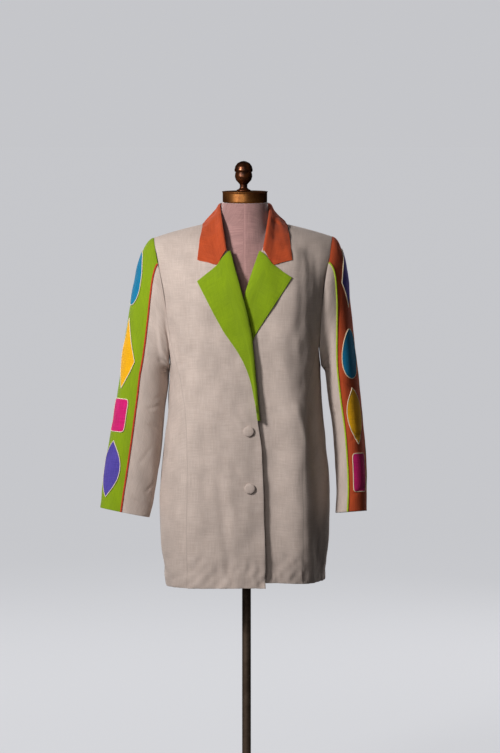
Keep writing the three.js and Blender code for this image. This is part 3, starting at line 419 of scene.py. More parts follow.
def along(table, at, column):  # cubic through a column of a table
    keys = next(iter(table.values()))
    values = table[column]
    n = np.arange(len(keys))
    low, high = np.maximum(n - 1, 0), np.minimum(n + 1, len(keys) - 1)
    slope = (values[high] - values[low]) / (keys[high] - keys[low])
    x = np.clip(at, keys[0], keys[-1])
    i = np.searchsorted(keys[1:-1], x, side="left")
    step = keys[i + 1] - keys[i]
    t = (x - keys[i]) / step
    start = values[i] * (1 + 2 * t) * (1 - t) ** 2 + slope[i] * step * t * (1 - t) ** 2
    end = values[i + 1] * t * t * (3 - 2 * t) + slope[i + 1] * step * t * t * (t - 1)
    return start + end


def unit(v):
    return v / np.maximum(np.linalg.norm(v, axis=-1, keepdims=True), 1e-9)


coat = {  # millimetres; the CAD part's own sizes
    "offset": -3.6, "wall": 1.5, "hem": 566, "hemRise": 12, "leftLift": 11, "boxiness": 2.3,
    "neckHeight": 1414, "slope": 0.10, "fall": 0.00058, "ridgeY": 8, "top": 1377,
    "neckHalf": 62, "backDip": 14, "underarm": 1076, "tipRight": 208, "tipLeft": 199, "tipBlend": 200,
    "sinkDepth": 12, "sinkNear": 8, "sinkFar": 84, "frontEase": 172, "backEase": 118,
    "foldRate": 3, "foldOver": 0.2, "fadeRate": 4, "fadeStart": 0.4, "liftSpread": 1.25,
}
bodyRings = tableOf(
    "level half front back",
    (566, 182, 140, 134), (640, 191, 143, 142), (700, 195, 145, 146), (765, 196, 146, 146),
    (830, 193, 146, 141), (900, 185, 144, 131), (965, 178, 142, 124), (1064, 174, 141, 121),
    (1150, 183, 139, 123), (1250, 200, 134, 121), (1330, 216, 128, 116), (1380, 224, 122, 112),
)
armholeSeam = tableOf(
    "z x", (1125, 170), (1150, 171.5), (1190, 176), (1240, 184), (1285, 192), (1330, 202), (1366, 208)
)
rightFrontEdge = tableOf(
    "z x", (566, 48), (700, 45), (800, 42), (894, 38), (962, 29), (1060, 20), (1169, 8), (1348, -39.5),
    (1380, -54), (1406, -62),
)
leftFrontEdge = tableOf(
    "z x", (566, -12), (900, -15), (962, -15), (1060, -13), (1169, -7), (1238, 3), (1348, 39.5), (1380, 54),
    (1406, 62),
)
princessSeam = tableOf(
    "z x", (566, 133), (700, 132), (850, 131), (930, 132), (1000, 138), (1060, 149), (1110, 161),
    (1148.5, 171.5),
)
foldColumns = "topX topZ lowX lowZ width depth"  # depth inward
frontFolds = tableOf(
    foldColumns,
    (152, 1372, 150, 1160, 15, 4.0),
    (152, 1010, 176, 545, 13, 14.0),
    (120, 1345, 134, 600, 46, -11.0),
    (136, 1020, 144, 560, 40, -8.0),
    (116, 1000, 144, 900, 10, -3.0),
    (142, 960, 156, 550, 12, -4.0),
    (-122, 1300, -132, 570, 46, -7.0),
    (-90, 960, -84, 660, 18, 2.6),
    (-62, 850, -30, 590, 13, 2.2),
    (-120, 1130, -150, 1010, 12, 3.0),
)
backFolds = tableOf(
    foldColumns,
    (0, 1080, 0, 840, 26, 4.0),
    (-138, 1250, -112, 930, 13, 5.0),
    (142, 1240, 118, 960, 12, 4.0),
    (-96, 800, -112, 545, 18, 6.0),
    (88, 820, 108, 545, 18, 6.5),
)
frontCreases = tableOf(  # finer soft folds of the fronts
    foldColumns,
    (128, 1345, 126, 1165, 8, 2.6),
    (142, 1352, 143, 1235, 5, 1.6),
    (136, 1330, 139, 1150, 5, -1.2),
    (164, 1345, 160, 1180, 4, 1.6),
    (150, 1190, 158, 1130, 4, 2.2),
    (168, 1195, 160, 1128, 4, 1.8),
    (147, 1175, 166, 1110, 4, 2.4),
    (118, 1150, 132, 1060, 7, -2.0),
    (132, 1140, 128, 1020, 6, 1.8),
    (124, 1010, 150, 905, 7, 2.6),
    (70, 1000, 60, 700, 22, 1.4),
    (30, 1000, 24, 600, 16, 1.4),
    (-163, 1180, -150, 1084, 5, 5.0),
    (-150, 1090, -168, 1038, 5, 4.5),
    (-142, 1165, -138, 1070, 6, -2.0),
    (-92, 960, -88, 790, 12, 1.6),
    (-59, 820, -36, 620, 8, 1.5),
    (-40, 900, -20, 640, 10, -1.2),
    (-24, 1000, 6, 946, 4, 1.6),
    (-34, 985, 2, 936, 4, -1.0),
    (-30, 862, 4, 812, 5, 1.6),
    (-62, 640, -48, 585, 5, 1.8),
    (-40, 630, -30, 578, 5, 1.6),
    (-98, 650, -122, 606, 5, 1.5),
    (-20, 625, -14, 580, 4, 1.8),
    (14, 650, 4, 584, 6, 2.0),
    (30, 640, 36, 580, 5, 1.8),
    (-84, 632, -72, 578, 5, 1.8),
    (66, 640, 96, 590, 5, 2.2),
    (92, 655, 118, 612, 5, 2.0),
    (118, 640, 126, 585, 4, 2.0),
    (70, 615, 76, 575, 5, 2.0),
    (-90, 1150, -84, 1010, 12, 1.0),
    (-48, 1020, -44, 880, 12, 1.0),
    (-130, 800, -140, 600, 12, 1.6),
)
backCreases = tableOf(
    foldColumns,
    (-60, 1330, -66, 1190, 10, 1.5),
    (70, 1320, 62, 1180, 10, 1.3),
    (-150, 1190, -128, 1080, 6, 2.4),
    (152, 1180, 130, 1070, 6, 2.2),
    (-30, 1060, -22, 930, 9, 1.6),
    (34, 1040, 26, 900, 9, 1.5),
    (-104, 980, -70, 900, 7, 1.8),
    (100, 960, 66, 880, 7, 1.8),
    (-44, 790, -58, 590, 14, 2.6),
    (30, 760, 44, 590, 13, 2.4),
    (-140, 720, -148, 580, 10, 2.0),
    (140, 740, 150, 580, 10, 2.2),
    (-20, 640, 6, 590, 5, 1.4),
    (80, 640, 66, 585, 5, 1.4),
)


def ridgeHeight(x):
    return coat["neckHeight"] - coat["slope"] * np.abs(x) - coat["fall"] * x * x


def hemHeight(angle, lift):
    return coat["hem"] + coat["hemRise"] * np.maximum(0, np.cos(angle)) + coat["leftLift"] * lift


def fadeEnds(t, rate, start):  # 1 along a fold, 0 past its two ends
    return ease(t * rate + start) * ease((1 - t) * rate + start)


def foldDepth(folds, x, z):
    depth = 0
    for fold in rowsOf(folds):
        t = (fold["topZ"] - z) / (fold["topZ"] - fold["lowZ"])
        fade = fadeEnds(t, coat["fadeRate"], coat["fadeStart"])
        centre = mix(fold["topX"], fold["lowX"], np.clip(t, -coat["foldOver"], 1 + coat["foldOver"]))
        depth = depth + fold["depth"] * fade * np.exp(-(((x - centre) / fold["width"]) ** 2))
    return depth


def sinkDepth(x, z):
    past = x - along(rightFrontEdge, z, "x") - coat["sinkNear"]
    return coat["sinkDepth"] * (1 - ease(past / (coat["sinkFar"] - coat["sinkNear"])))


crumple = {
    "waves": 26, "shortest": 26, "longest": 120, "height": 0.26, "upright": 3.2, "whole": 70,
    "growth": 0.8, "rate": 4,
}
hemCrumple = crumple | {
    "waves": 16, "shortest": 13, "longest": 34, "height": 1.2, "upright": 2.0, "reach": 95,
}


def makeWaves(settings):
    waves = []
    for _ in range(settings["waves"]):
        length = np.exp(rng.uniform(np.log(settings["shortest"]), np.log(settings["longest"])))
        way = unit(rng.normal(size=3) * np.array([settings["upright"], settings["upright"], 1.0]))
        height = settings["height"] * (length / settings["whole"]) ** settings["growth"]
        waves.append((way * 2 * np.pi / length, rng.uniform(0, 2 * np.pi), height))
    return waves


bodyWaves, hemWaves = makeWaves(crumple), makeWaves(hemCrumple)


def crumpleAt(points, waves):  # gentle unevenness of washed linen
    total = 0
    for way, phase, height in waves:
        total = total + height * np.sin(points @ way + phase)
    return total


def gridNormals(grid):
    return unit(np.cross(np.gradient(grid, axis=1), np.gradient(grid, axis=0)))


def softened(grid, waves):  # a small piece's own unevenness
    return grid + gridNormals(grid) * crumpleAt(grid, waves)[..., None]


def bodyPoint(angle, k, lift=0.0, sunk=False, plain=False):
    angle, k, lift = np.broadcast_arrays(*(np.asarray(value, float) for value in (angle, k, lift)))
    level = mix(coat["hem"], coat["top"], k)
    half = along(bodyRings, level, "half")
    front = np.cos(angle) >= 0
    deep = np.where(front, along(bodyRings, level, "front"), along(bodyRings, level, "back"))
    s, c = np.sin(angle), np.cos(angle)
    power = coat["boxiness"]
    reach = (np.abs(s / half) ** power + np.abs(c / deep) ** power) ** (-1 / power)
    x = reach * s
    low = hemHeight(angle, lift)
    ridge = ridgeHeight(x)
    z = low + k * (ridge - low)
    below = np.clip((ridge - z) / np.where(front, coat["frontEase"], coat["backEase"]), 0, 1)
    rounded = np.sqrt(1 - (1 - below) ** 2)
    folds = np.where(front, foldDepth(frontFolds, x, z), foldDepth(backFolds, x, z))
    if not plain:
        folds = folds + np.where(front, foldDepth(frontCreases, x, z), foldDepth(backCreases, x, z))
    inward = folds * ease(below * coat["foldRate"]) * ease(np.abs(c) * coat["foldRate"])
    if sunk:
        inward = inward + sinkDepth(x, z)
    y = mix(coat["ridgeY"], -reach * c, rounded) + np.where(front, 1, -1) * inward
    point = np.stack([x, y, z], axis=-1)
    if not plain:
        near = ease((hemCrumple["reach"] - (z - low)) / hemCrumple["reach"])
        out = crumpleAt(point, bodyWaves) * ease(below * crumple["rate"]) + crumpleAt(point, hemWaves) * near
        point = point + out[..., None] * np.stack([s, -c, 0 * s], axis=-1)
    return point


def angleAt(x, k, isFront=True):
    level = mix(coat["hem"], coat["top"], k)
    half = along(bodyRings, level, "half")
    deep = np.where(isFront, along(bodyRings, level, "front"), along(bodyRings, level, "back"))
    share = np.minimum(1, np.abs(x / half) ** coat["boxiness"])
    y = deep * (1 - share) ** (1 / coat["boxiness"])
    return np.arctan2(x, np.where(isFront, y, -y))


def shareAt(x, z, lift, isFront=True):
    k = (z - coat["hem"]) / (ridgeHeight(x) - coat["hem"])
    for _ in range(3):
        low = hemHeight(angleAt(x, np.clip(k, 0, 1), isFront), lift)
        k = (z - low) / (ridgeHeight(x) - low)
    return np.clip(k, 0, 1)


def bodyNormal(angle, k, **options):
    turn, climb = 0.004, 0.0008
    high = np.minimum(k + climb, 1)
    low = np.maximum(high - 2 * climb, 0)
    across = bodyPoint(angle + turn, k, **options) - bodyPoint(angle - turn, k, **options)
    up = bodyPoint(angle, high, **options) - bodyPoint(angle, low, **options)
    return unit(np.cross(across, up))


def above(x, z, up, isFront=True, lift=0.0, sunk=False, plain=False):  # a point that lies on the coat
    k = shareAt(x, z, lift, isFront)
    angle = angleAt(x, k, isFront)
    options = {"lift": lift, "sunk": sunk, "plain": plain}
    return bodyPoint(angle, k, **options) + bodyNormal(angle, k, **options) * np.asarray(up)[..., None]


def backLift(angle):
    return ease((np.sin(angle) * coat["liftSpread"] + 1) / 2)


edgeSteps = np.array([0.5, 1.2, 2.4])  # millimetres from an edge


def sharesOf(step, length, first=True, last=True):  # even shares, closer together near both ends
    near = edgeSteps / length
    shares = [np.linspace(0, 1, max(2, int(round(length / step))) + 1)]
    shares += [near] if first else []
    shares += [1 - near] if last else []
    return np.unique(np.round(np.concatenate(shares), 6))


def arcs(grid, axis):
    steps = np.linalg.norm(np.diff(grid, axis=axis), axis=-1)
    pad = [(0, 0), (0, 0)]
    pad[axis] = (1, 0)
    return np.pad(np.cumsum(steps, axis=axis), pad)


def lengthsOf(path):
    return np.concatenate([[0], np.cumsum(np.linalg.norm(np.diff(path, axis=0), axis=1))])


sharpFrom = 55  # degrees between faces
farAway = 900.0  # millimetres; no edge or seam is near


def addObject(name, points, faces, material, uv=None, extras=None, offset=None):
    mesh = bpy.data.meshes.new(name)
    shift = np.array([coat["offset"] if offset is None else offset, 0, 0])
    mesh.from_pydata(((points + shift) / 1000).tolist(), [], [list(f) for f in faces])
    corners = np.zeros(len(mesh.loops), int)
    mesh.loops.foreach_get("vertex_index", corners)
    if uv is not None:
        mesh.uv_layers.new(name="cloth").data.foreach_set("uv", (uv[corners] / 1000).ravel())
    for key, values in (extras or {}).items():
        mesh.attributes.new(key, "FLOAT", "POINT").data.foreach_set("value", values.astype(np.float32) / 1000)
    mesh.materials.append(materials[material])
    mesh.polygons.foreach_set("use_smooth", np.ones(len(mesh.polygons), bool))
    mesh.set_sharp_from_angle(angle=np.radians(sharpFrom))
    made = bpy.data.objects.new("look_" + name, mesh)
    bpy.context.scene.collection.objects.link(made)
    return made


def quads(rows, columns, turned=False, base=0, roundColumns=False):
    wide = columns if roundColumns else columns - 1
    r, c = np.meshgrid(np.arange(rows - 1), np.arange(wide), indexing="ij")
    n = (c + 1) % columns
    corners = [r * columns + c, r * columns + n, (r + 1) * columns + n, (r + 1) * columns + c]
    faces = np.stack(corners, axis=-1).reshape(-1, 4) + base
    return faces[:, ::-1] if turned else faces


def tubeFaces(rows, columns, turned=False):  # a tube of round rows with a cap at each end
    first = list(range(columns))
    last = list(range((rows - 1) * columns, rows * columns))
    caps = [first, last[::-1]] if turned else [first[::-1], last]
    return quads(rows, columns, turned, 0, True).tolist() + caps


def plainEdges(count):
    return {"edge": np.full(count, farAway), "seam": np.full(count, farAway)}


wallShape = {"round": 0.55, "roundReach": 0.9, "groove": 0.14, "grooveReach": 1.3}


def wallOf(name, grid, material, turned=False, wall=None, free="", seams="", grainX=None, normals=None):
    # free and seams name the grid's sides: l first column, r last column, b first row, t last row
    wall = coat["wall"] if wall is None else wall
    rows, columns = grid.shape[:2]
    across, up = arcs(grid, 1), arcs(grid, 0)
    if normals is None:
        normals = gridNormals(grid) * (-1 if turned else 1)
    sides = {"l": across, "r": across[:, -1:] - across, "b": up, "t": up[-1:] - up}
    far = np.full((rows, columns), farAway)
    edge = np.minimum.reduce([far] + [sides[s] for s in free])
    seam = np.minimum.reduce([far] + [sides[s] for s in seams])
    rounding = wallShape["round"] * np.exp(-((edge / wallShape["roundReach"]) ** 2))
    groove = wallShape["groove"] * np.exp(-((seam / wallShape["grooveReach"]) ** 2))
    outer = grid - normals * (rounding + groove)[..., None]
    inner = grid - normals * (wall - rounding)[..., None]
    rowWay = unit(np.gradient(grid, axis=1))[:-1]
    rise = np.diff(grid, axis=0)
    rise = np.linalg.norm(rise - (rise * rowWay).sum(-1, keepdims=True) * rowWay, axis=-1)
    v = np.pad(np.cumsum(rise, axis=0), [(1, 0), (0, 0)])
    u = across
    if grainX is not None:
        order = 1 if grid[0, -1, 0] > grid[0, 0, 0] else -1
        start = [np.interp(grainX, row[::order, 0], arc[::order]) for row, arc in zip(grid, across)]
        u = across - np.array(start)[:, None]
    count = rows * columns
    faces = [quads(rows, columns, turned), quads(rows, columns, not turned, count)]
    index = np.arange(count).reshape(rows, columns)
    rim = np.concatenate([index[0, :-1], index[:-1, -1], index[-1, :0:-1], index[:0:-1, 0]])
    following = np.roll(rim, -1)
    around = np.stack([rim, rim + count, following + count, following], axis=-1)
    faces.append(around[:, ::-1] if turned else around)
    points = np.concatenate([outer.reshape(-1, 3), inner.reshape(-1, 3)])
    uv = np.stack([u, v], axis=-1).reshape(-1, 2)
    extras = {"edge": np.tile(edge.ravel(), 2), "seam": np.tile(seam.ravel(), 2)}
    return addObject(name, points, np.concatenate(faces), material, np.tile(uv, (2, 1)), extras)


def place(piece, node, body="root"):
    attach(piece, body)
    if node:
        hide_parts(node)
    return piece


def tipOf(side):
    return coat["tipRight"] if side < 0 else coat["tipLeft"]


def armholeX(side, z):
    toTip = ease((z - armholeSeam["z"][0]) / coat["tipBlend"])
    return along(armholeSeam, z, "x") - (coat["tipRight"] - tipOf(side)) * toTip


def armholePlace(side, turn, lift):  # (angle, k) of the armhole seam; turn in degrees round it
    turn = np.asarray(turn, float)
    isFront = turn < 90
    top = ridgeHeight(tipOf(side))
    z = mix(coat["underarm"], top, 0.5 + 0.5 * np.sin(np.radians(turn)))
    lowest = armholeSeam["z"][0]
    x = side * armholeX(side, z)
    k = shareAt(x, z, lift, isFront)
    seam = angleAt(x, k, isFront)
    share = np.clip((lowest - z) / (lowest - coat["underarm"]), 0, 1)
    close = 1 - np.sqrt(1 - share * share)
    angle = mix(seam, side * np.pi / 2, close)
    low = hemHeight(angle, lift)
    point = bodyPoint(angle, k, lift=lift, plain=True)
    below = (z - low) / (ridgeHeight(point[..., 0]) - low)
    return angle, np.where(share > 0, below, k)


def liftOf(side):
    return 1.0 if side > 0 else 0.0


panels = {
    "step": 4.5, "long": 860, "frontWide": 140, "sideLong": 540, "sideWide": 70, "backWide": 420,
    "princessTurn": -30, "frontTurn": 89.999, "backTurn": 90.001, "frontSplit": 0.665, "backSplit": 0.6,
    "hemFold": 32, "hemThick": 1.1, "hemFade": 3, "edgeTop": 1400, "sideBend": 6, "grainAt": 100,
    "dipFrom": 0.9, "dipOver": 0.1,
}


def seamAngle(table, k, lift, side, startTop):
    z = mix(coat["hem"], startTop, k)
    for _ in range(4):
        x = along(table, z, "x")
        z = mix(hemHeight(angleAt(side * x, k), lift), ridgeHeight(x), k)
    return angleAt(side * along(table, z, "x"), k)


def addPanel(name, angle, k, lift, sunk, turned, free, seams, grainX):
    options = {"lift": lift, "sunk": sunk}
    grid = bodyPoint(angle, k, **options)
    normals = bodyNormal(angle, k, **options)
    fromHem = arcs(grid, 0)
    thick = coat["wall"] + panels["hemThick"] * (1 - ease((fromHem - panels["hemFold"]) / panels["hemFade"]))
    piece = wallOf(name, grid, "linen", turned, thick, free, seams, grainX, normals)
    return place(piece, name)


def frontPanel(side, name):
    lift = liftOf(side)
    edge = rightFrontEdge if side < 0 else leftFrontEdge
    split = panels["frontSplit"]
    t = sharesOf(panels["step"], panels["long"])
    startK = armholePlace(side, panels["princessTurn"], lift)[1]
    turn = mix(panels["princessTurn"], panels["frontTurn"], (t - split) / (1 - split))
    armAngle, armK = armholePlace(side, np.maximum(turn, panels["princessTurn"]), lift)
    k = np.where(t < split, startK * t / split, armK)
    k[-1] = 1
    inner = seamAngle(edge, k, lift, 1, panels["edgeTop"])
    outer = np.where(t < split, seamAngle(princessSeam, k, lift, side, coat["top"]), armAngle)
    share = sharesOf(panels["step"], panels["frontWide"])[None]
    angle = mix(inner[:, None], outer[:, None], share)
    k = np.repeat(k[:, None], angle.shape[1], axis=1)
    return addPanel(name, angle, k, lift, side > 0, side < 0, "lb", "rt", side * panels["grainAt"])


def sideFront(side, name):
    lift = liftOf(side)
    u = sharesOf(panels["step"], panels["sideWide"])[None]
    v = sharesOf(panels["step"], panels["sideLong"])[:, None]
    topAngle, topK = armholePlace(side, mix(panels["princessTurn"], -90, u), lift)
    firstAngle, firstK = armholePlace(side, panels["princessTurn"], lift)
    inner = seamAngle(princessSeam, firstK * v, lift, side, coat["top"])
    straight = mix(inner, side * np.pi / 2, u)
    topStraight = mix(firstAngle, side * np.pi / 2, u)
    angle = straight + (topAngle - topStraight) * v ** panels["sideBend"]
    return addPanel(name, angle, topK * v, lift, side > 0, side < 0, "b", "lrt", None)


def backPanel(name):
    split = panels["backSplit"]
    t = sharesOf(panels["step"], panels["long"])
    turn = np.clip(mix(270, 90, (t - split) / (1 - split)), panels["backTurn"], 270)
    rows = []
    for side in (1, -1):
        lift = liftOf(side)
        armAngle, armK = armholePlace(side, turn, lift)
        startK = armholePlace(side, 270.0, lift)[1]
        lowAngle, lowK = side * np.pi / 2, startK * t / split
        rows.append((np.where(t < split, lowAngle, armAngle), np.where(t < split, lowK, armK)))
    (leftAngle, leftK), (rightAngle, rightK) = rows
    leftK[-1] = rightK[-1] = 1
    u = sharesOf(panels["step"], panels["backWide"])[None]
    angle = mix(leftAngle[:, None], rightAngle[:, None] + 2 * np.pi, u)
    k = mix(leftK[:, None], rightK[:, None], u)
    lift = backLift(angle)
    x = bodyPoint(angle, k, lift=lift, plain=True)[..., 0]
    dip = coat["backDip"] * np.clip(1 - (x / coat["neckHalf"]) ** 2, 0, 1)
    down = dip / (coat["neckHeight"] - coat["hem"])
    k = k - down * ease((k - panels["dipFrom"]) / panels["dipOver"])
    return addPanel(name, angle, k, lift, False, False, "b", "lrt", 0)


frontRight = frontPanel(-1, "front_right")
frontLeft = frontPanel(1, "front_left")
sideRight = sideFront(-1, "side_front_right")
sideLeft = sideFront(1, "side_front_left")
back = backPanel("back")
print("coat body made")

rightLapelEdge = tableOf("z x", (966, 27), (1008, 21), (1066, 8), (1112, -13), (1169, -51), (1276, -107.5))
leftLapelEdge = tableOf("z x", (1010, -11), (1080, 2), (1141, 18), (1169, 32), (1284, 106))
lapelSection = tableOf(  # round the roll: share of the way to the edge, height above the coat, past the roll
    "step share high beyond",
    (0, 0, -4.3, -7), (1, 0, -4.7, 1.4), (2, 0, -1.6, 5), (3, 0, 2.8, 5.4), (4, 0.05, 5.6, 2.4),
    (5, 0.18, 6.2, 0), (6, 0.35, 5.2, 0), (7, 0.62, 4.0, 0), (8, 0.82, 3.4, 0), (9, 1, 3.0, 0),
)
lapels = {
    "step": 4, "long": 350, "stepRound": 0.16, "extraSteps": [8.97, 8.93, 8.86, 6.0], "wall": 1.6,
    "notchShare": 0.35, "notchDrop": 8.6, "notchPower": 8, "rollTop": 1343.5, "rightBreak": 962,
    "leftBreak": 1006,
}
trimWaves = makeWaves(crumple | {"waves": 14, "shortest": 22, "longest": 60, "height": 0.2})


def lapel(side, name):
    roll = rightFrontEdge if side < 0 else leftFrontEdge
    outer = rightLapelEdge if side < 0 else leftLapelEdge
    breakZ = lapels["rightBreak"] if side < 0 else lapels["leftBreak"]
    v = sharesOf(lapels["step"], lapels["long"])[:, None]
    last = lapelSection["step"][-1]
    step = sharesOf(lapels["stepRound"], last, False, False) * last
    step = np.unique(np.concatenate([step, lapels["extraSteps"]]))[None]
    share = np.clip(along(lapelSection, step, "share"), 0, 1)
    high = along(lapelSection, step, "high")
    beyond = along(lapelSection, step, "beyond")
    rollZ = mix(breakZ, lapels["rollTop"], v)
    outZ = mix(outer["z"][0], outer["z"][-1], v)
    notch = np.maximum(0, np.minimum(share / lapels["notchShare"], (1 - share) / (1 - lapels["notchShare"])))
    x = mix(along(roll, rollZ, "x"), along(outer, outZ, "x"), share) - side * beyond
    z = mix(rollZ, outZ, share) - lapels["notchDrop"] * notch * v ** lapels["notchPower"]
    grid = above(x, z, high + 0 * v, lift=liftOf(side), sunk=side > 0, plain=True)
    piece = wallOf(name, softened(grid, trimWaves), "green", side < 0, lapels["wall"], "rt", "")
    return place(piece, name)


lapelRight = lapel(-1, "lapel_right")
lapelLeft = lapel(1, "lapel_left")

collarStations = tableOf(
    "at rollX rollY rollZ midX midZ outX outZ",
    (0, 0, 62, 1449, 0, 1424, 0, 1384),
    (1, 34, 51, 1448, 42, 1424, 58, 1386),
    (2, 52, 28, 1446, 64, 1428, 86, 1394),
    (3, 56, 2, 1443, 69, 1430, 93, 1405),
    (4, 54, -30, 1424, 70, 1411, 98, 1388),
    (5, 48.5, -70, 1391, 68, 1372, 103, 1360),
    (6, 40.5, -104, 1347, 63.5, 1313.5, 107, 1322.5),
)
collarWaves = makeWaves(crumple | {"waves": 14, "shortest": 16, "longest": 44, "height": 0.42})
collarShape = {
    "lift": 3.2, "standBack": 46, "standFront": 4, "standRate": 1.05, "turn": 2.4, "columns": 150, "rows": 44,
    "wall": 1.8, "seamOut": 3, "lowOut": 0.8, "overOut": 5.5, "overDrop": 1.0, "ridgeGap": 0.5,
    "ridgeReach": 60, "midShare": 0.38, "midFrom": 0.6, "midOver": 0.4, "fallFrom": 3, "fallOver": 2,
    "extraRows": [6.96, 6.9, 6.8],
}


def collarRow(share):  # one section of the collar, from neck seam over the roll to the outer edge
    shape, side = collarShape, -1 if share < 0 else 1
    count = collarStations["at"][-1]
    at = abs(share) * count
    part = at / count
    read = {key: float(along(collarStations, at, key)) for key in collarStations if key != "at"}
    roll = np.array([side * read["rollX"], read["rollY"], read["rollZ"]])

    def lie(x, z):
        if z > ridgeHeight(x) - shape["ridgeGap"]:
            return np.array([side * x, coat["ridgeY"] - (part - 0.5) * shape["ridgeReach"], z])
        return above(side * x, z, shape["lift"], isFront=at > count / 2, plain=True)

    outer, middle = lie(read["outX"], read["outZ"]), lie(read["midX"], read["midZ"])
    height = mix(shape["standBack"], shape["standFront"], ease(part * shape["standRate"]))
    turn = part * shape["turn"]
    out = np.array([side * np.sin(turn), np.cos(turn), 0])
    toMiddle = ease((part - shape["midFrom"]) / shape["midOver"])
    mid = mix(mix(roll, outer, shape["midShare"]), middle, toMiddle)
    seam = roll + out * shape["seamOut"] - np.array([0, 0, height])
    low = roll + out * shape["lowOut"] - np.array([0, 0, height * 0.5])
    over = roll + out * shape["overOut"] - np.array([0, 0, shape["overDrop"]])
    return np.array([seam, low, roll, over, mix(over, mid, 0.5), mid, mix(mid, outer, 0.5), outer])


def smoothAlong(points, at):  # cubic through rows of points
    table = {"at": np.arange(len(points), dtype=float)}
    flat = points.reshape(len(points), -1)
    columns = [along(table | {"c": flat[:, i]}, at, "c") for i in range(flat.shape[1])]
    return np.stack(columns, axis=-1).reshape((len(at),) + points.shape[1:])


def collar(name):
    shares = sharesOf(1, collarShape["columns"]) * 2 - 1
    grid = np.array([collarRow(s) for s in shares])
    t = np.linspace(0, grid.shape[1] - 1, collarShape["rows"])
    t = np.unique(np.concatenate([t, collarShape["extraRows"]]))
    grid = np.swapaxes(smoothAlong(np.swapaxes(grid, 0, 1), t), 0, 1)
    fall = ease((t - collarShape["fallFrom"]) / collarShape["fallOver"])[None, :, None]
    soft = mix(grid, softened(grid, collarWaves), fall)
    piece = wallOf(name, soft, "orange", True, collarShape["wall"], "rbt", "l")
    return place(piece, name)


collarPiece = collar("collar")
print("collar and lapels made")

sleeveColumns = "z outer inner midY deep tilt pitch"
rightSleeveRings = tableOf(
    sleeveColumns,
    (1060, 286, 178.5, -2, 60, 0.00, 0.02), (1000, 295, 182.5, -6, 57, 0.03, 0.04),
    (930, 307, 188, -11, 52, 0.06, 0.06), (850, 320, 197, -19, 45, 0.11, 0.09),
    (790, 328, 208, -28, 39, 0.16, 0.10), (739, 333, 219, -37, 35, 0.20, 0.10),
)
leftSleeveRings = tableOf(
    sleeveColumns,
    (1060, 260, 184, -4, 70, 0.00, 0.02), (1000, 266, 191, -8, 68, 0.01, 0.05),
    (930, 272, 202, -14, 65, 0.03, 0.08), (850, 278, 208, -27, 61, 0.05, 0.12),
    (790, 279, 210, -38, 57, 0.06, 0.14), (742, 279, 207, -48, 53, 0.07, 0.15),
)
band = {
    "topFront": 38, "topBack": 142, "capShare": 0.42, "step": 4.5, "long": 650, "perDegree": 0.95,
    "puffFrom": 0.1, "fadeRate": 3, "fadeStart": 0.5,
}
sleeveKinds = {
    "right": {
        "side": -1, "rings": rightSleeveRings, "lowFront": 8, "lowBack": 118, "capWiden": 11,
        "band": "bandGreen", "bandSlot": "green_linen", "trim": "red", "trimSlot": "red_piping",
    },
    "left": {
        "side": 1, "rings": leftSleeveRings, "lowFront": -14, "lowBack": 104, "capWiden": 1,
        "band": "bandOrange", "bandSlot": "orange_linen", "trim": "lime", "trimSlot": "lime_piping",
    },
}
creaseColumns = "topTurn topV lowTurn lowV width depth"  # degrees round the sleeve, share down it, mm
sleeveCreases = {
    "right": tableOf(
        creaseColumns,
        (-60, 0.20, -22, 0.31, 7, 2.6), (-80, 0.25, -44, 0.37, 8, 3.0), (-92, 0.20, -88, 0.515, 26, -4.6),
        (-72, 0.30, -62, 0.48, 6, 3.2), (-84, 0.44, -40, 0.41, 7, 2.0), (-74, 0.20, -14, 0.22, 50, -6.0),
        (-78, 0.05, -14, 0.05, 22, 4.0),
        (-45, 0.55, 5, 0.57, 5, 1.4), (-40, 0.60, 0, 0.585, 4, 1.2), (-55, 0.50, -15, 0.53, 5, 1.2),
        (-60, 0.86, -30, 0.90, 5, 1.2), (-50, 0.93, -20, 0.90, 5, 1.0),
        (150, 0.52, 200, 0.56, 6, 1.6), (160, 0.60, 205, 0.57, 6, 1.4), (-30, 0.96, 6, 0.94, 4, 1.2),
        (-58, 0.66, -6, 0.63, 5, 1.3), (-24, 0.72, 8, 0.80, 6, 1.0),
    ),
    "left": tableOf(
        creaseColumns,
        (-60, 0.22, -20, 0.30, 5, 2.2), (-45, 0.54, 0, 0.57, 5, 1.2), (-40, 0.60, 0, 0.585, 4, 1.2),
        (-76, 0.26, -34, 0.38, 5, 2.4), (60, 0.66, 104, 0.70, 5, 1.8), (50, 0.71, 98, 0.67, 4, 1.5),
        (40, 0.45, 96, 0.49, 5, 2.0), (54, 0.93, 100, 0.90, 4, 2.0),
        (150, 0.50, 200, 0.55, 6, 1.6), (165, 0.60, 205, 0.57, 6, 1.4),
    ),
}
sleeveWaves = {kind: makeWaves(crumple | {"waves": 18, "longest": 80, "height": 0.2}) for kind in sleeveKinds}


def sleeveTurn(turn, v, kind):
    lowFront, lowBack = sleeveKinds[kind]["lowFront"], sleeveKinds[kind]["lowBack"]
    knots = [-90, band["topFront"], band["topBack"], 270]
    low = np.interp(turn, knots, [-90, lowFront, lowBack, 270])
    return mix(turn, low, ease(v / band["capShare"]))


capLine = {  # how the cap leaves the armhole, at the tip and at the underarm, and meets the first ring
    "gap": 0.4, "out": 0.8, "tipOut": 0.2, "armOut": 0.6, "down": -0.5, "tipUp": 0.42, "armUp": 0.5,
    "along": 0.2, "tipReach": 0.4, "armReach": 0.6, "endReach": 0.9, "arrive": (0.12, -0.05), "blend": 1.5,
}


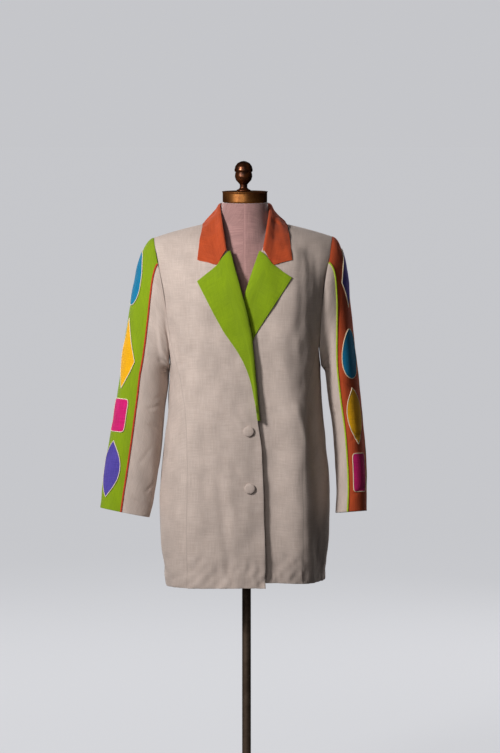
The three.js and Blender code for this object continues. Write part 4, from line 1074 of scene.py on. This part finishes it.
def creaseDepth(kind, turn, v):  # creases lie in millimetres round and down the sleeve
    size = np.array([band["perDegree"], band["long"]])
    depth = 0
    for row in rowsOf(sleeveCreases[kind]):
        a = np.array([row["topTurn"], row["topV"]]) * size
        b = np.array([row["lowTurn"], row["lowV"]]) * size
        length = np.linalg.norm(b - a)
        way = (b - a) / length
        for shift in (-360, 0, 360):  # the underarm line has cloth on both sides
            x = turn * size[0] + shift * size[0] - a[0]
            y = v * size[1] - a[1]
            s = (x * way[0] + y * way[1]) / length
            off = x * way[1] - y * way[0]
            fade = fadeEnds(s, band["fadeRate"], band["fadeStart"])
            depth = depth + row["depth"] * fade * np.exp(-((off / row["width"]) ** 2))
    return depth


def sleevePoint(kind, turn, v, plain=False):
    side, rings = sleeveKinds[kind]["side"], sleeveKinds[kind]["rings"]
    turn, v = np.broadcast_arrays(np.asarray(turn, float), np.asarray(v, float))
    turn = np.where(turn > 270, turn - 360, turn)

    def ring(z, angle):
        read = {key: along(rings, z, key) for key in rings if key != "z"}
        half, middle = (read["outer"] - read["inner"]) / 2, (read["outer"] + read["inner"]) / 2
        dx = half * np.sin(np.radians(angle))
        dy = -read["deep"] * np.cos(np.radians(angle))
        up = read["tilt"] * dx - read["pitch"] * dy
        return np.stack([side * (middle + dx), read["midY"] + dy, z + up], axis=-1)

    cap, line = band["capShare"], capLine
    first, last = rings["z"][-1], rings["z"][0]
    z = mix(first, last, np.clip((v - cap) / (1 - cap), 0, 1))
    tube = ring(z, sleeveTurn(turn, v, kind))
    lift = liftOf(side)
    angle, k = armholePlace(side, turn, lift)
    start = bodyPoint(angle, np.minimum(k, 1), lift=lift, plain=True) + np.array([side * line["gap"], 0, 0])
    rise, face = np.sin(np.radians(turn)), np.abs(np.cos(np.radians(turn)))
    toTip = ease(rise * line["blend"] + 0.5)
    t = np.clip(v / cap, 0, 1)[..., None]
    end = ring(np.full(turn.shape, first), sleeveTurn(turn, cap, kind))
    chord = np.linalg.norm(end - start, axis=-1, keepdims=True)
    outX = line["out"] + rise * mix(line["armOut"], line["tipOut"], toTip)
    upZ = line["down"] + rise * mix(line["armUp"], line["tipUp"], toTip)
    alongY = np.where(turn > 90, line["along"], -line["along"]) * face
    leave = unit(np.stack([side * outX, alongY, upZ], axis=-1))
    reach = mix(line["armReach"], line["tipReach"], toTip)[..., None]
    arrive = unit(np.array([side * line["arrive"][0], line["arrive"][1], -1]))
    hung = start * (1 + 2 * t) * (1 - t) ** 2 + leave * chord * reach * t * (1 - t) ** 2
    hung = hung + end * t * t * (3 - 2 * t) + arrive * chord * line["endReach"] * t * t * (t - 1)
    point = np.where((v >= cap)[..., None], tube, hung)
    if plain:
        return point
    puff = crumpleAt(point, sleeveWaves[kind]) * ease(v / band["puffFrom"])
    return point + sleeveNormal(kind, turn, v) * (puff - creaseDepth(kind, turn, v))[..., None]


def sleeveNormal(kind, turn, v):
    swing, drop = 0.5, 0.004
    around = sleevePoint(kind, turn + swing, v, True) - sleevePoint(kind, turn - swing, v, True)
    low, high = np.minimum(v + drop, 1), np.maximum(v - drop, 0)
    down = sleevePoint(kind, turn, low, True) - sleevePoint(kind, turn, high, True)
    return unit(np.cross(around, down) * -sleeveKinds[kind]["side"])


def seamTurn(kind, turn, v):  # the band is a little wider over the sleeve cap
    wide = sleeveKinds[kind]["capWiden"] * np.sin(np.pi * np.minimum(v / band["capShare"], 1))
    return turn + np.where((turn > 90) & (turn < 270), wide, -wide)


def sleevePiece(kind, firstTurn, lastTurn, name, material):
    side = sleeveKinds[kind]["side"]
    v = sharesOf(band["step"], band["long"])[:, None]
    share = sharesOf(band["step"], abs(lastTurn - firstTurn))[None]
    grid = sleevePoint(kind, mix(seamTurn(kind, firstTurn, v), seamTurn(kind, lastTurn, v), share), v)
    piece = wallOf(name, grid, material, side > 0, free="t", seams="blr")
    return place(piece, name)


pipingShape = {
    "half": 2.1, "high": 1.35, "centre": 1.25, "around": 14, "step": 4, "from": 0.006,
    "unrolled": 1.8, "bias": 0.7,
}


def pipe(kind, turn, name):
    settings, shape = sleeveKinds[kind], pipingShape
    v = np.maximum(sharesOf(shape["step"], band["long"], False, False), shape["from"])
    turn = seamTurn(kind, turn, v)
    centre = sleevePoint(kind, turn, v)
    normal = sleeveNormal(kind, turn, v)
    down = unit(np.gradient(centre, axis=0))
    across = unit(np.cross(down, normal))
    around = np.linspace(0, 2 * np.pi, shape["around"], endpoint=False)
    high = (shape["centre"] + shape["high"] * np.sin(around))[None, :, None]
    wide = (shape["half"] * np.cos(around))[None, :, None]
    grid = centre[:, None] + normal[:, None] * high + across[:, None] * wide
    rows, columns = grid.shape[:2]
    length = lengthsOf(centre)[:, None]
    uv = np.stack(np.broadcast_arrays((around * shape["unrolled"])[None], length), axis=-1).reshape(-1, 2)
    turned = np.stack([uv[:, 0] + uv[:, 1], uv[:, 1] - uv[:, 0]], axis=-1) * shape["bias"]  # cut on the bias
    faces, extras = tubeFaces(rows, columns, True), plainEdges(rows * columns)
    piece = addObject(name, grid.reshape(-1, 3), faces, settings["trim"], turned, extras)
    return place(piece, name)


patchShapes = {"disc": (2, 2), "lozenge": (1, 1), "almond": (2, 1), "block": (8, 8)}
patchRows = {  # shape, colour, middle down the sleeve, half length, middle turn, half width in degrees
    "right": [
        ("disc", "teal", 0.17, 0.075, 84, 27), ("lozenge", "yellow", 0.38, 0.105, 82, 29),
        ("block", "magenta", 0.6, 0.07, 80, 23), ("almond", "purple", 0.83, 0.12, 80, 27),
    ],
    "left": [
        ("lozenge", "purple", 0.17, 0.08, 84, 27), ("disc", "teal", 0.37, 0.07, 80, 27),
        ("almond", "yellow", 0.6, 0.12, 78, 27), ("block", "magenta", 0.84, 0.08, 78, 23),
    ],
}
patchShape = {
    "high": 1.9, "rings": 14, "around": 120, "cord": 1.05, "cordAround": 8, "gap": 0.15, "cordGap": 0.25,
    "inner": 0.06, "outer": 0.985, "rimHigh": 0.35, "wornReach": 25, "fine": 400,
}


def outlineOf(shape):  # closed outline in a square of half width 1, evenly spaced
    down, across = patchShapes[shape]
    y = np.cos(np.linspace(0, np.pi, patchShape["fine"]))
    half = np.maximum(1 - np.abs(y) ** down, 0) ** (1 / across)
    loop = np.concatenate([np.stack([half, y], 1), np.stack([-half[::-1], y[::-1]], 1)[1:-1]])
    closed = np.vstack([loop, loop[:1]])
    s = lengthsOf(closed)
    at = np.linspace(0, s[-1], patchShape["around"], endpoint=False)
    return np.stack([np.interp(at, s, closed[:, i]) for i in (0, 1)], axis=1)


def patch(kind, shape, colour, v, reach, turn, wide):
    loop = outlineOf(shape)
    radii = np.linspace(patchShape["inner"], patchShape["outer"], patchShape["rings"])
    radii = np.append(radii, 1.0)[:, None]
    turns, downs = turn + wide * radii * loop[:, 0], v + reach * radii * loop[:, 1]
    base = sleevePoint(kind, turns, downs)
    normal = sleeveNormal(kind, turns, downs)
    high = patchShape["high"] * np.where(radii == 1, patchShape["rimHigh"], 1.0)
    top = base + normal * high[..., None]
    low = base + normal * patchShape["gap"]
    turned = kind == "left"
    rows, columns = top.shape[:2]
    count = rows * columns
    rim = np.arange(count - columns, count)
    following = np.roll(rim, -1)
    ring = np.stack([rim, following, following + count, rim + count], axis=-1)
    sides = [quads(rows, columns, turned, 0, True), quads(rows, columns, not turned, count, True)]
    faces = np.concatenate(sides + [ring[:, ::-1] if turned else ring]).tolist()
    first, under = list(range(columns)), list(range(count, count + columns))
    faces += [first, under[::-1]] if turned else [first[::-1], under]
    points = np.concatenate([top.reshape(-1, 3), low.reshape(-1, 3)])
    uv = np.stack([turns * band["perDegree"], downs * band["long"]], axis=-1).reshape(-1, 2)
    edge = np.broadcast_to((1 - radii) * patchShape["wornReach"], turns.shape).ravel()
    extras = plainEdges(2 * count) | {"edge": np.tile(edge, 2)}
    name = f"patch_{kind}_{shape}"
    piece = addObject(name, points, faces, colour, np.tile(uv, (2, 1)), extras)
    place(piece, name)
    return [piece, couching(kind, name, base[-1], normal[-1])]


def couching(kind, name, path, normal):  # a cream cord laid round a patch
    radius = patchShape["cord"]
    way = unit(np.roll(path, -1, axis=0) - np.roll(path, 1, axis=0))
    across = unit(np.cross(way, normal))
    around = np.linspace(0, 2 * np.pi, patchShape["cordAround"], endpoint=False)
    wide, high = np.cos(around)[None, :, None], np.sin(around)[None, :, None]
    centre = path + normal * (radius + patchShape["cordGap"])
    grid = centre[:, None] + radius * (across[:, None] * wide + normal[:, None] * high)
    rows, columns = grid.shape[:2]
    faces = quads(rows + 1, columns, False, 0, True) % (rows * columns)
    length = lengthsOf(np.concatenate([grid, grid[:1]])[:, 0])[1:, None]
    uv = np.stack(np.broadcast_arrays((around * radius)[None], length), axis=-1).reshape(-1, 2)
    points, extras = grid.reshape(-1, 3), plainEdges(rows * columns)
    return place(addObject("couching_" + name, points, faces, "cream", uv, extras), None)


def sleeve(kind):
    settings = sleeveKinds[kind]
    linen = sleevePiece(kind, band["topBack"], band["topFront"] + 360, f"sleeve_{kind}", "linen")
    strip = sleevePiece(
        kind, band["topFront"], band["topBack"], f"sleeve_band_{kind}", settings["band"]
    )
    on = [pipe(kind, band["top" + end], f"piping_{end.lower()}_{kind}") for end in ("Front", "Back")]
    for row in patchRows[kind]:
        on += patch(kind, *row)
    return linen, strip, on


sleeves = {kind: sleeve(kind) for kind in sleeveKinds}
print("sleeves made")


def latheOf(name, profile, segments, material, height, centre, offset, step):
    # profile of (radius, height) points, corners slightly rounded
    points = np.array(profile, float)
    lengths = np.linalg.norm(np.diff(points, axis=0), axis=1)
    parts = [np.linspace(i, i + 1, max(2, int(n / step)), endpoint=False) for i, n in enumerate(lengths)]
    at = np.append(np.concatenate(parts), len(lengths))
    fine = np.stack([np.interp(at, np.arange(len(points)), points[:, i]) for i in (0, 1)], 1)
    for _ in range(2):
        fine[1:-1] = fine[1:-1] * 0.5 + (fine[2:] + fine[:-2]) * 0.25
    fine = fine[fine[:, 0] > 1e-3]
    turn = np.linspace(0, 2 * np.pi, segments, endpoint=False)
    x, y = centre + fine[:, :1] * np.cos(turn), fine[:, :1] * np.sin(turn)
    grid = np.stack(np.broadcast_arrays(x, y, height + fine[:, 1:]), axis=-1)
    return addObject(name, grid.reshape(-1, 3), tubeFaces(len(fine), segments), material, offset=offset)


form = {
    "seat": 0.45, "drop": 0.12, "dropFrom": 110, "slim": 0.74, "room": 0.9, "mostRoom": 90, "neckRoom": 14,
    "sharp": 1.7, "torsoSharp": 2.1, "neckSharp": 2, "blend": 9, "blendOver": 60, "segments": 120,
    "rows": 150, "neckRows": 24, "neckTop": 1449, "middle": 3, "endHalf": 30,
    "endDeep": 0.5, "fine": 721, "shoulders": (150, 132, 114, 98, 84, 76), "probe": (0.05, 0.94, 0.05),
}
formRings = [  # height, half width, front and back depth
    (724, 142, 84, 92), (760, 160, 98, 112), (820, 167, 108, 118), (880, 155, 106, 106), (960, 122, 92, 86),
    (1010, 118, 90, 82), (1080, 136, 108, 90), (1140, 146, 120, 98), (1200, 150, 114, 102),
    (1270, 160, 105, 98), (1320, 166, 92, 88), (1348, 162, 79, 80),
]
formNeck = tableOf(
    "z half front back midY",
    (1250, 100, 112, 80, 4), (1290, 92, 108, 70, 4), (1330, 80, 97, 64, 3), (1360, 69, 84, 58, 2),
    (1385, 60.5, 69, 55, 1), (1410, 55.6, 57.5, 52, 0), (1449, 53.2, 51, 50, 0),
)


def roomInCoat(half, z, isFront):
    share = np.arange(*form["probe"])
    x = half * share
    keep = x > coat["neckHalf"] - form["neckRoom"] if isFront else x > 0
    x, share = x[keep], share[keep]
    level = z + coat["wall"] + form["room"]
    face = above(x, level, np.zeros(len(x)), isFront=isFront, plain=True)[:, 1] - coat["ridgeY"]
    sharp = form["sharp"]
    return min(form["mostRoom"], (np.abs(face) / (1 - share**sharp) ** (1 / sharp)).min()) * form["slim"]


def formTorso(name):
    rings = [row + (0, form["torsoSharp"]) for row in formRings]
    sharp, middle, segments = form["sharp"], form["middle"], form["segments"]
    for half in form["shoulders"]:
        z = ridgeHeight(half) - coat["wall"] - form["seat"] - max(0, half - form["dropFrom"]) * form["drop"]
        rings.append((z, half, roomInCoat(half, z, True), roomInCoat(half, z, False), coat["ridgeY"], sharp))
    top, deep = rings[-1], form["endDeep"]
    rings.append((top[0] + 1, form["endHalf"], top[2] * deep, top[3] * deep, coat["ridgeY"], sharp))
    data = tableOf("step z half front back midY sharp", *((i,) + row for i, row in enumerate(rings)))
    at = np.linspace(0, len(rings) - 1, form["rows"])
    read = {key: along(data, at, key) for key in data if key != "step"}
    over = np.linspace(read["z"][-1] + 1, form["neckTop"], form["neckRows"])
    turn = np.linspace(0, 2 * np.pi, segments, endpoint=False)
    fine = np.linspace(0, 2 * np.pi, form["fine"])

    def radiusOf(half, front, back, midY, power):  # reach from the form's middle at each turn
        deep = np.where(np.cos(fine) > 0, front, back)
        reach = (np.abs(np.sin(fine) / half) ** power + np.abs(np.cos(fine) / deep) ** power) ** (-1 / power)
        x, y = reach * np.sin(fine), midY - reach * np.cos(fine) - middle
        theta = np.arctan2(x, -y) % (2 * np.pi)
        order = np.argsort(theta)
        return np.interp(turn, theta[order], np.hypot(x, y)[order], period=2 * np.pi)

    rows = []
    columns = ("half", "front", "back", "midY")
    neckLow = formNeck["z"][0]
    for i, z in enumerate(np.concatenate([read["z"], over])):
        radii = []
        if i < len(at):
            radii.append(radiusOf(*(read[key][i] for key in columns), read["sharp"][i]))
        if z > neckLow:
            radii.append(radiusOf(*(float(along(formNeck, z, key)) for key in columns), form["neckSharp"]))
        radius = radii[0]
        if len(radii) == 2:
            soft = form["blend"] * ease((z - neckLow) / form["blendOver"])
            gap = np.maximum(soft - np.abs(radii[0] - radii[1]), 0) / max(soft, 1e-6)
            radius = np.maximum(*radii) + gap * gap * soft * 0.25
        x, y = radius * np.sin(turn), middle - radius * np.cos(turn)
        rows.append(np.stack([x, y, np.full(turn.shape, z)], axis=-1))
    grid = np.array(rows)
    wide = arcs(np.concatenate([grid, grid[:, :1]], axis=1), 1)
    centre = np.minimum(wide[:, :-1], wide[:, -1:] - wide[:, :-1])
    quarter = np.abs(wide[:, :-1] / wide[:, -1:] - 0.5) * wide[:, -1:]
    seam = np.minimum(centre, quarter).ravel()
    uv = np.stack([wide[:, :-1], arcs(grid, 0)], axis=-1).reshape(-1, 2)
    extras = plainEdges(len(seam)) | {"seam": seam}
    piece = addObject(name, grid.reshape(-1, 3), tubeFaces(len(rows), segments), "formCloth", uv, extras)
    return place(piece, name)


torso = formTorso("form_torso")

capProfile = [
    (0, 0), (49.8, 0), (51, 1.2), (51, 22.9), (52.6, 23.9), (52.6, 24.7), (51.4, 25.5), (46, 25.5),
    (44.6, 25.2), (0, 25.2),
]
finialProfile = [
    (0, 0), (16, 0), (16.5, 2.5), (11, 5), (8.6, 8), (8.6, 15), (12, 19), (17.5, 25), (20, 33), (19.4, 40),
    (18, 43), (20.6, 45), (21, 49), (19, 57), (14, 64), (6, 68), (0, 69),
]
footProfile = [
    (0, 0), (203, 0), (205, 2), (205, 8), (176.3, 14), (82, 22), (30, 26), (24, 30), (24, 42), (22, 44),
    (0, 44),
]
socketProfile = [(0, 0), (15, 0), (18, 12), (62, 12), (62, 17), (0, 17)]
poleProfile = [(0, 0), (10.2, 0), (10.2, 661.7), (0, 661.7)]
turned = [  # node, profile, facets, material, slot, bottom, shift in x, offset of the coat, step
    ("neck_cap", capProfile, 96, "bronze", "bronze", 1449.4, 0.0, None, 1.2),
    ("finial", finialProfile, 64, "finial", "bronze", 1475.2, -3, None, 0.8),
    ("foot", footProfile, 128, "poleMetal", "pole_metal", 0, 0, 0, 1.2),
    ("pole_socket", socketProfile, 64, "poleMetal", "pole_metal", 706.3, 0, 0, 1.2),
    ("pole", poleProfile, 48, "poleMetal", "pole_metal", 44.3, 0, 0, 8),
]
for name, profile, facets, material, slot, bottom, shift, offset, step in turned:
    place(latheOf(name, profile, facets, material, bottom, shift, offset, step), name)
print("form and stand made")

buttonShape = {
    "radius": 12, "dome": 2.7, "rim": 1.1, "shank": 0.6, "lay": 0.4, "gathers": 22, "gather": 0.18,
    "gatherReach": 1.6, "shankRadius": 3, "fullness": 0.9, "rows": 26, "around": 88, "firstRise": 2,
    "flatEnd": 0.8, "sideIn": 0.2, "sideUp": 0.5, "topHole": 0.02,
}
buttonPlaces = {"button_upper": (8.5, 938), "button_lower": (11, 808)}


def addButton(name, x, z):
    shape = buttonShape
    radius, shank, inner = shape["radius"], shape["shank"], shape["shankRadius"]
    rise = np.radians(np.linspace(shape["firstRise"], 90, shape["rows"]))
    flat = np.linspace(2 * inner, radius - shape["flatEnd"], 4)
    cover = radius * np.cos(rise) ** shape["fullness"]
    r = np.concatenate([[inner] * 2, flat, [radius - shape["sideIn"]], cover])
    domed = shank + shape["rim"] + shape["dome"] * np.sin(rise)
    up = np.concatenate([[0], [shank] * 5, [shank + shape["sideUp"]], domed])
    r[-1] = shape["topHole"]
    turn = np.linspace(0, 2 * np.pi, shape["around"], endpoint=False)
    near = np.exp(-(((r - radius) / shape["gatherReach"]) ** 2))[:, None]
    radii = r[:, None] + shape["gather"] * near * np.sin(turn * shape["gathers"] + np.sin(turn * 3))
    seat = above(np.array(x, float), np.array(z, float), shape["lay"], plain=True)
    section = np.broadcast_arrays(radii * np.cos(turn), -up[:, None], radii * np.sin(turn))
    grid = np.stack(section, axis=-1) + seat
    rows, columns = grid.shape[:2]
    uv = np.stack([grid[..., 0], grid[..., 2]], axis=-1).reshape(-1, 2)
    faces, extras = tubeFaces(rows, columns), plainEdges(rows * columns)
    return place(addObject(name, grid.reshape(-1, 3), faces, "linen", uv, extras), name)


buttons = [addButton(name, *spot) for name, spot in buttonPlaces.items()]
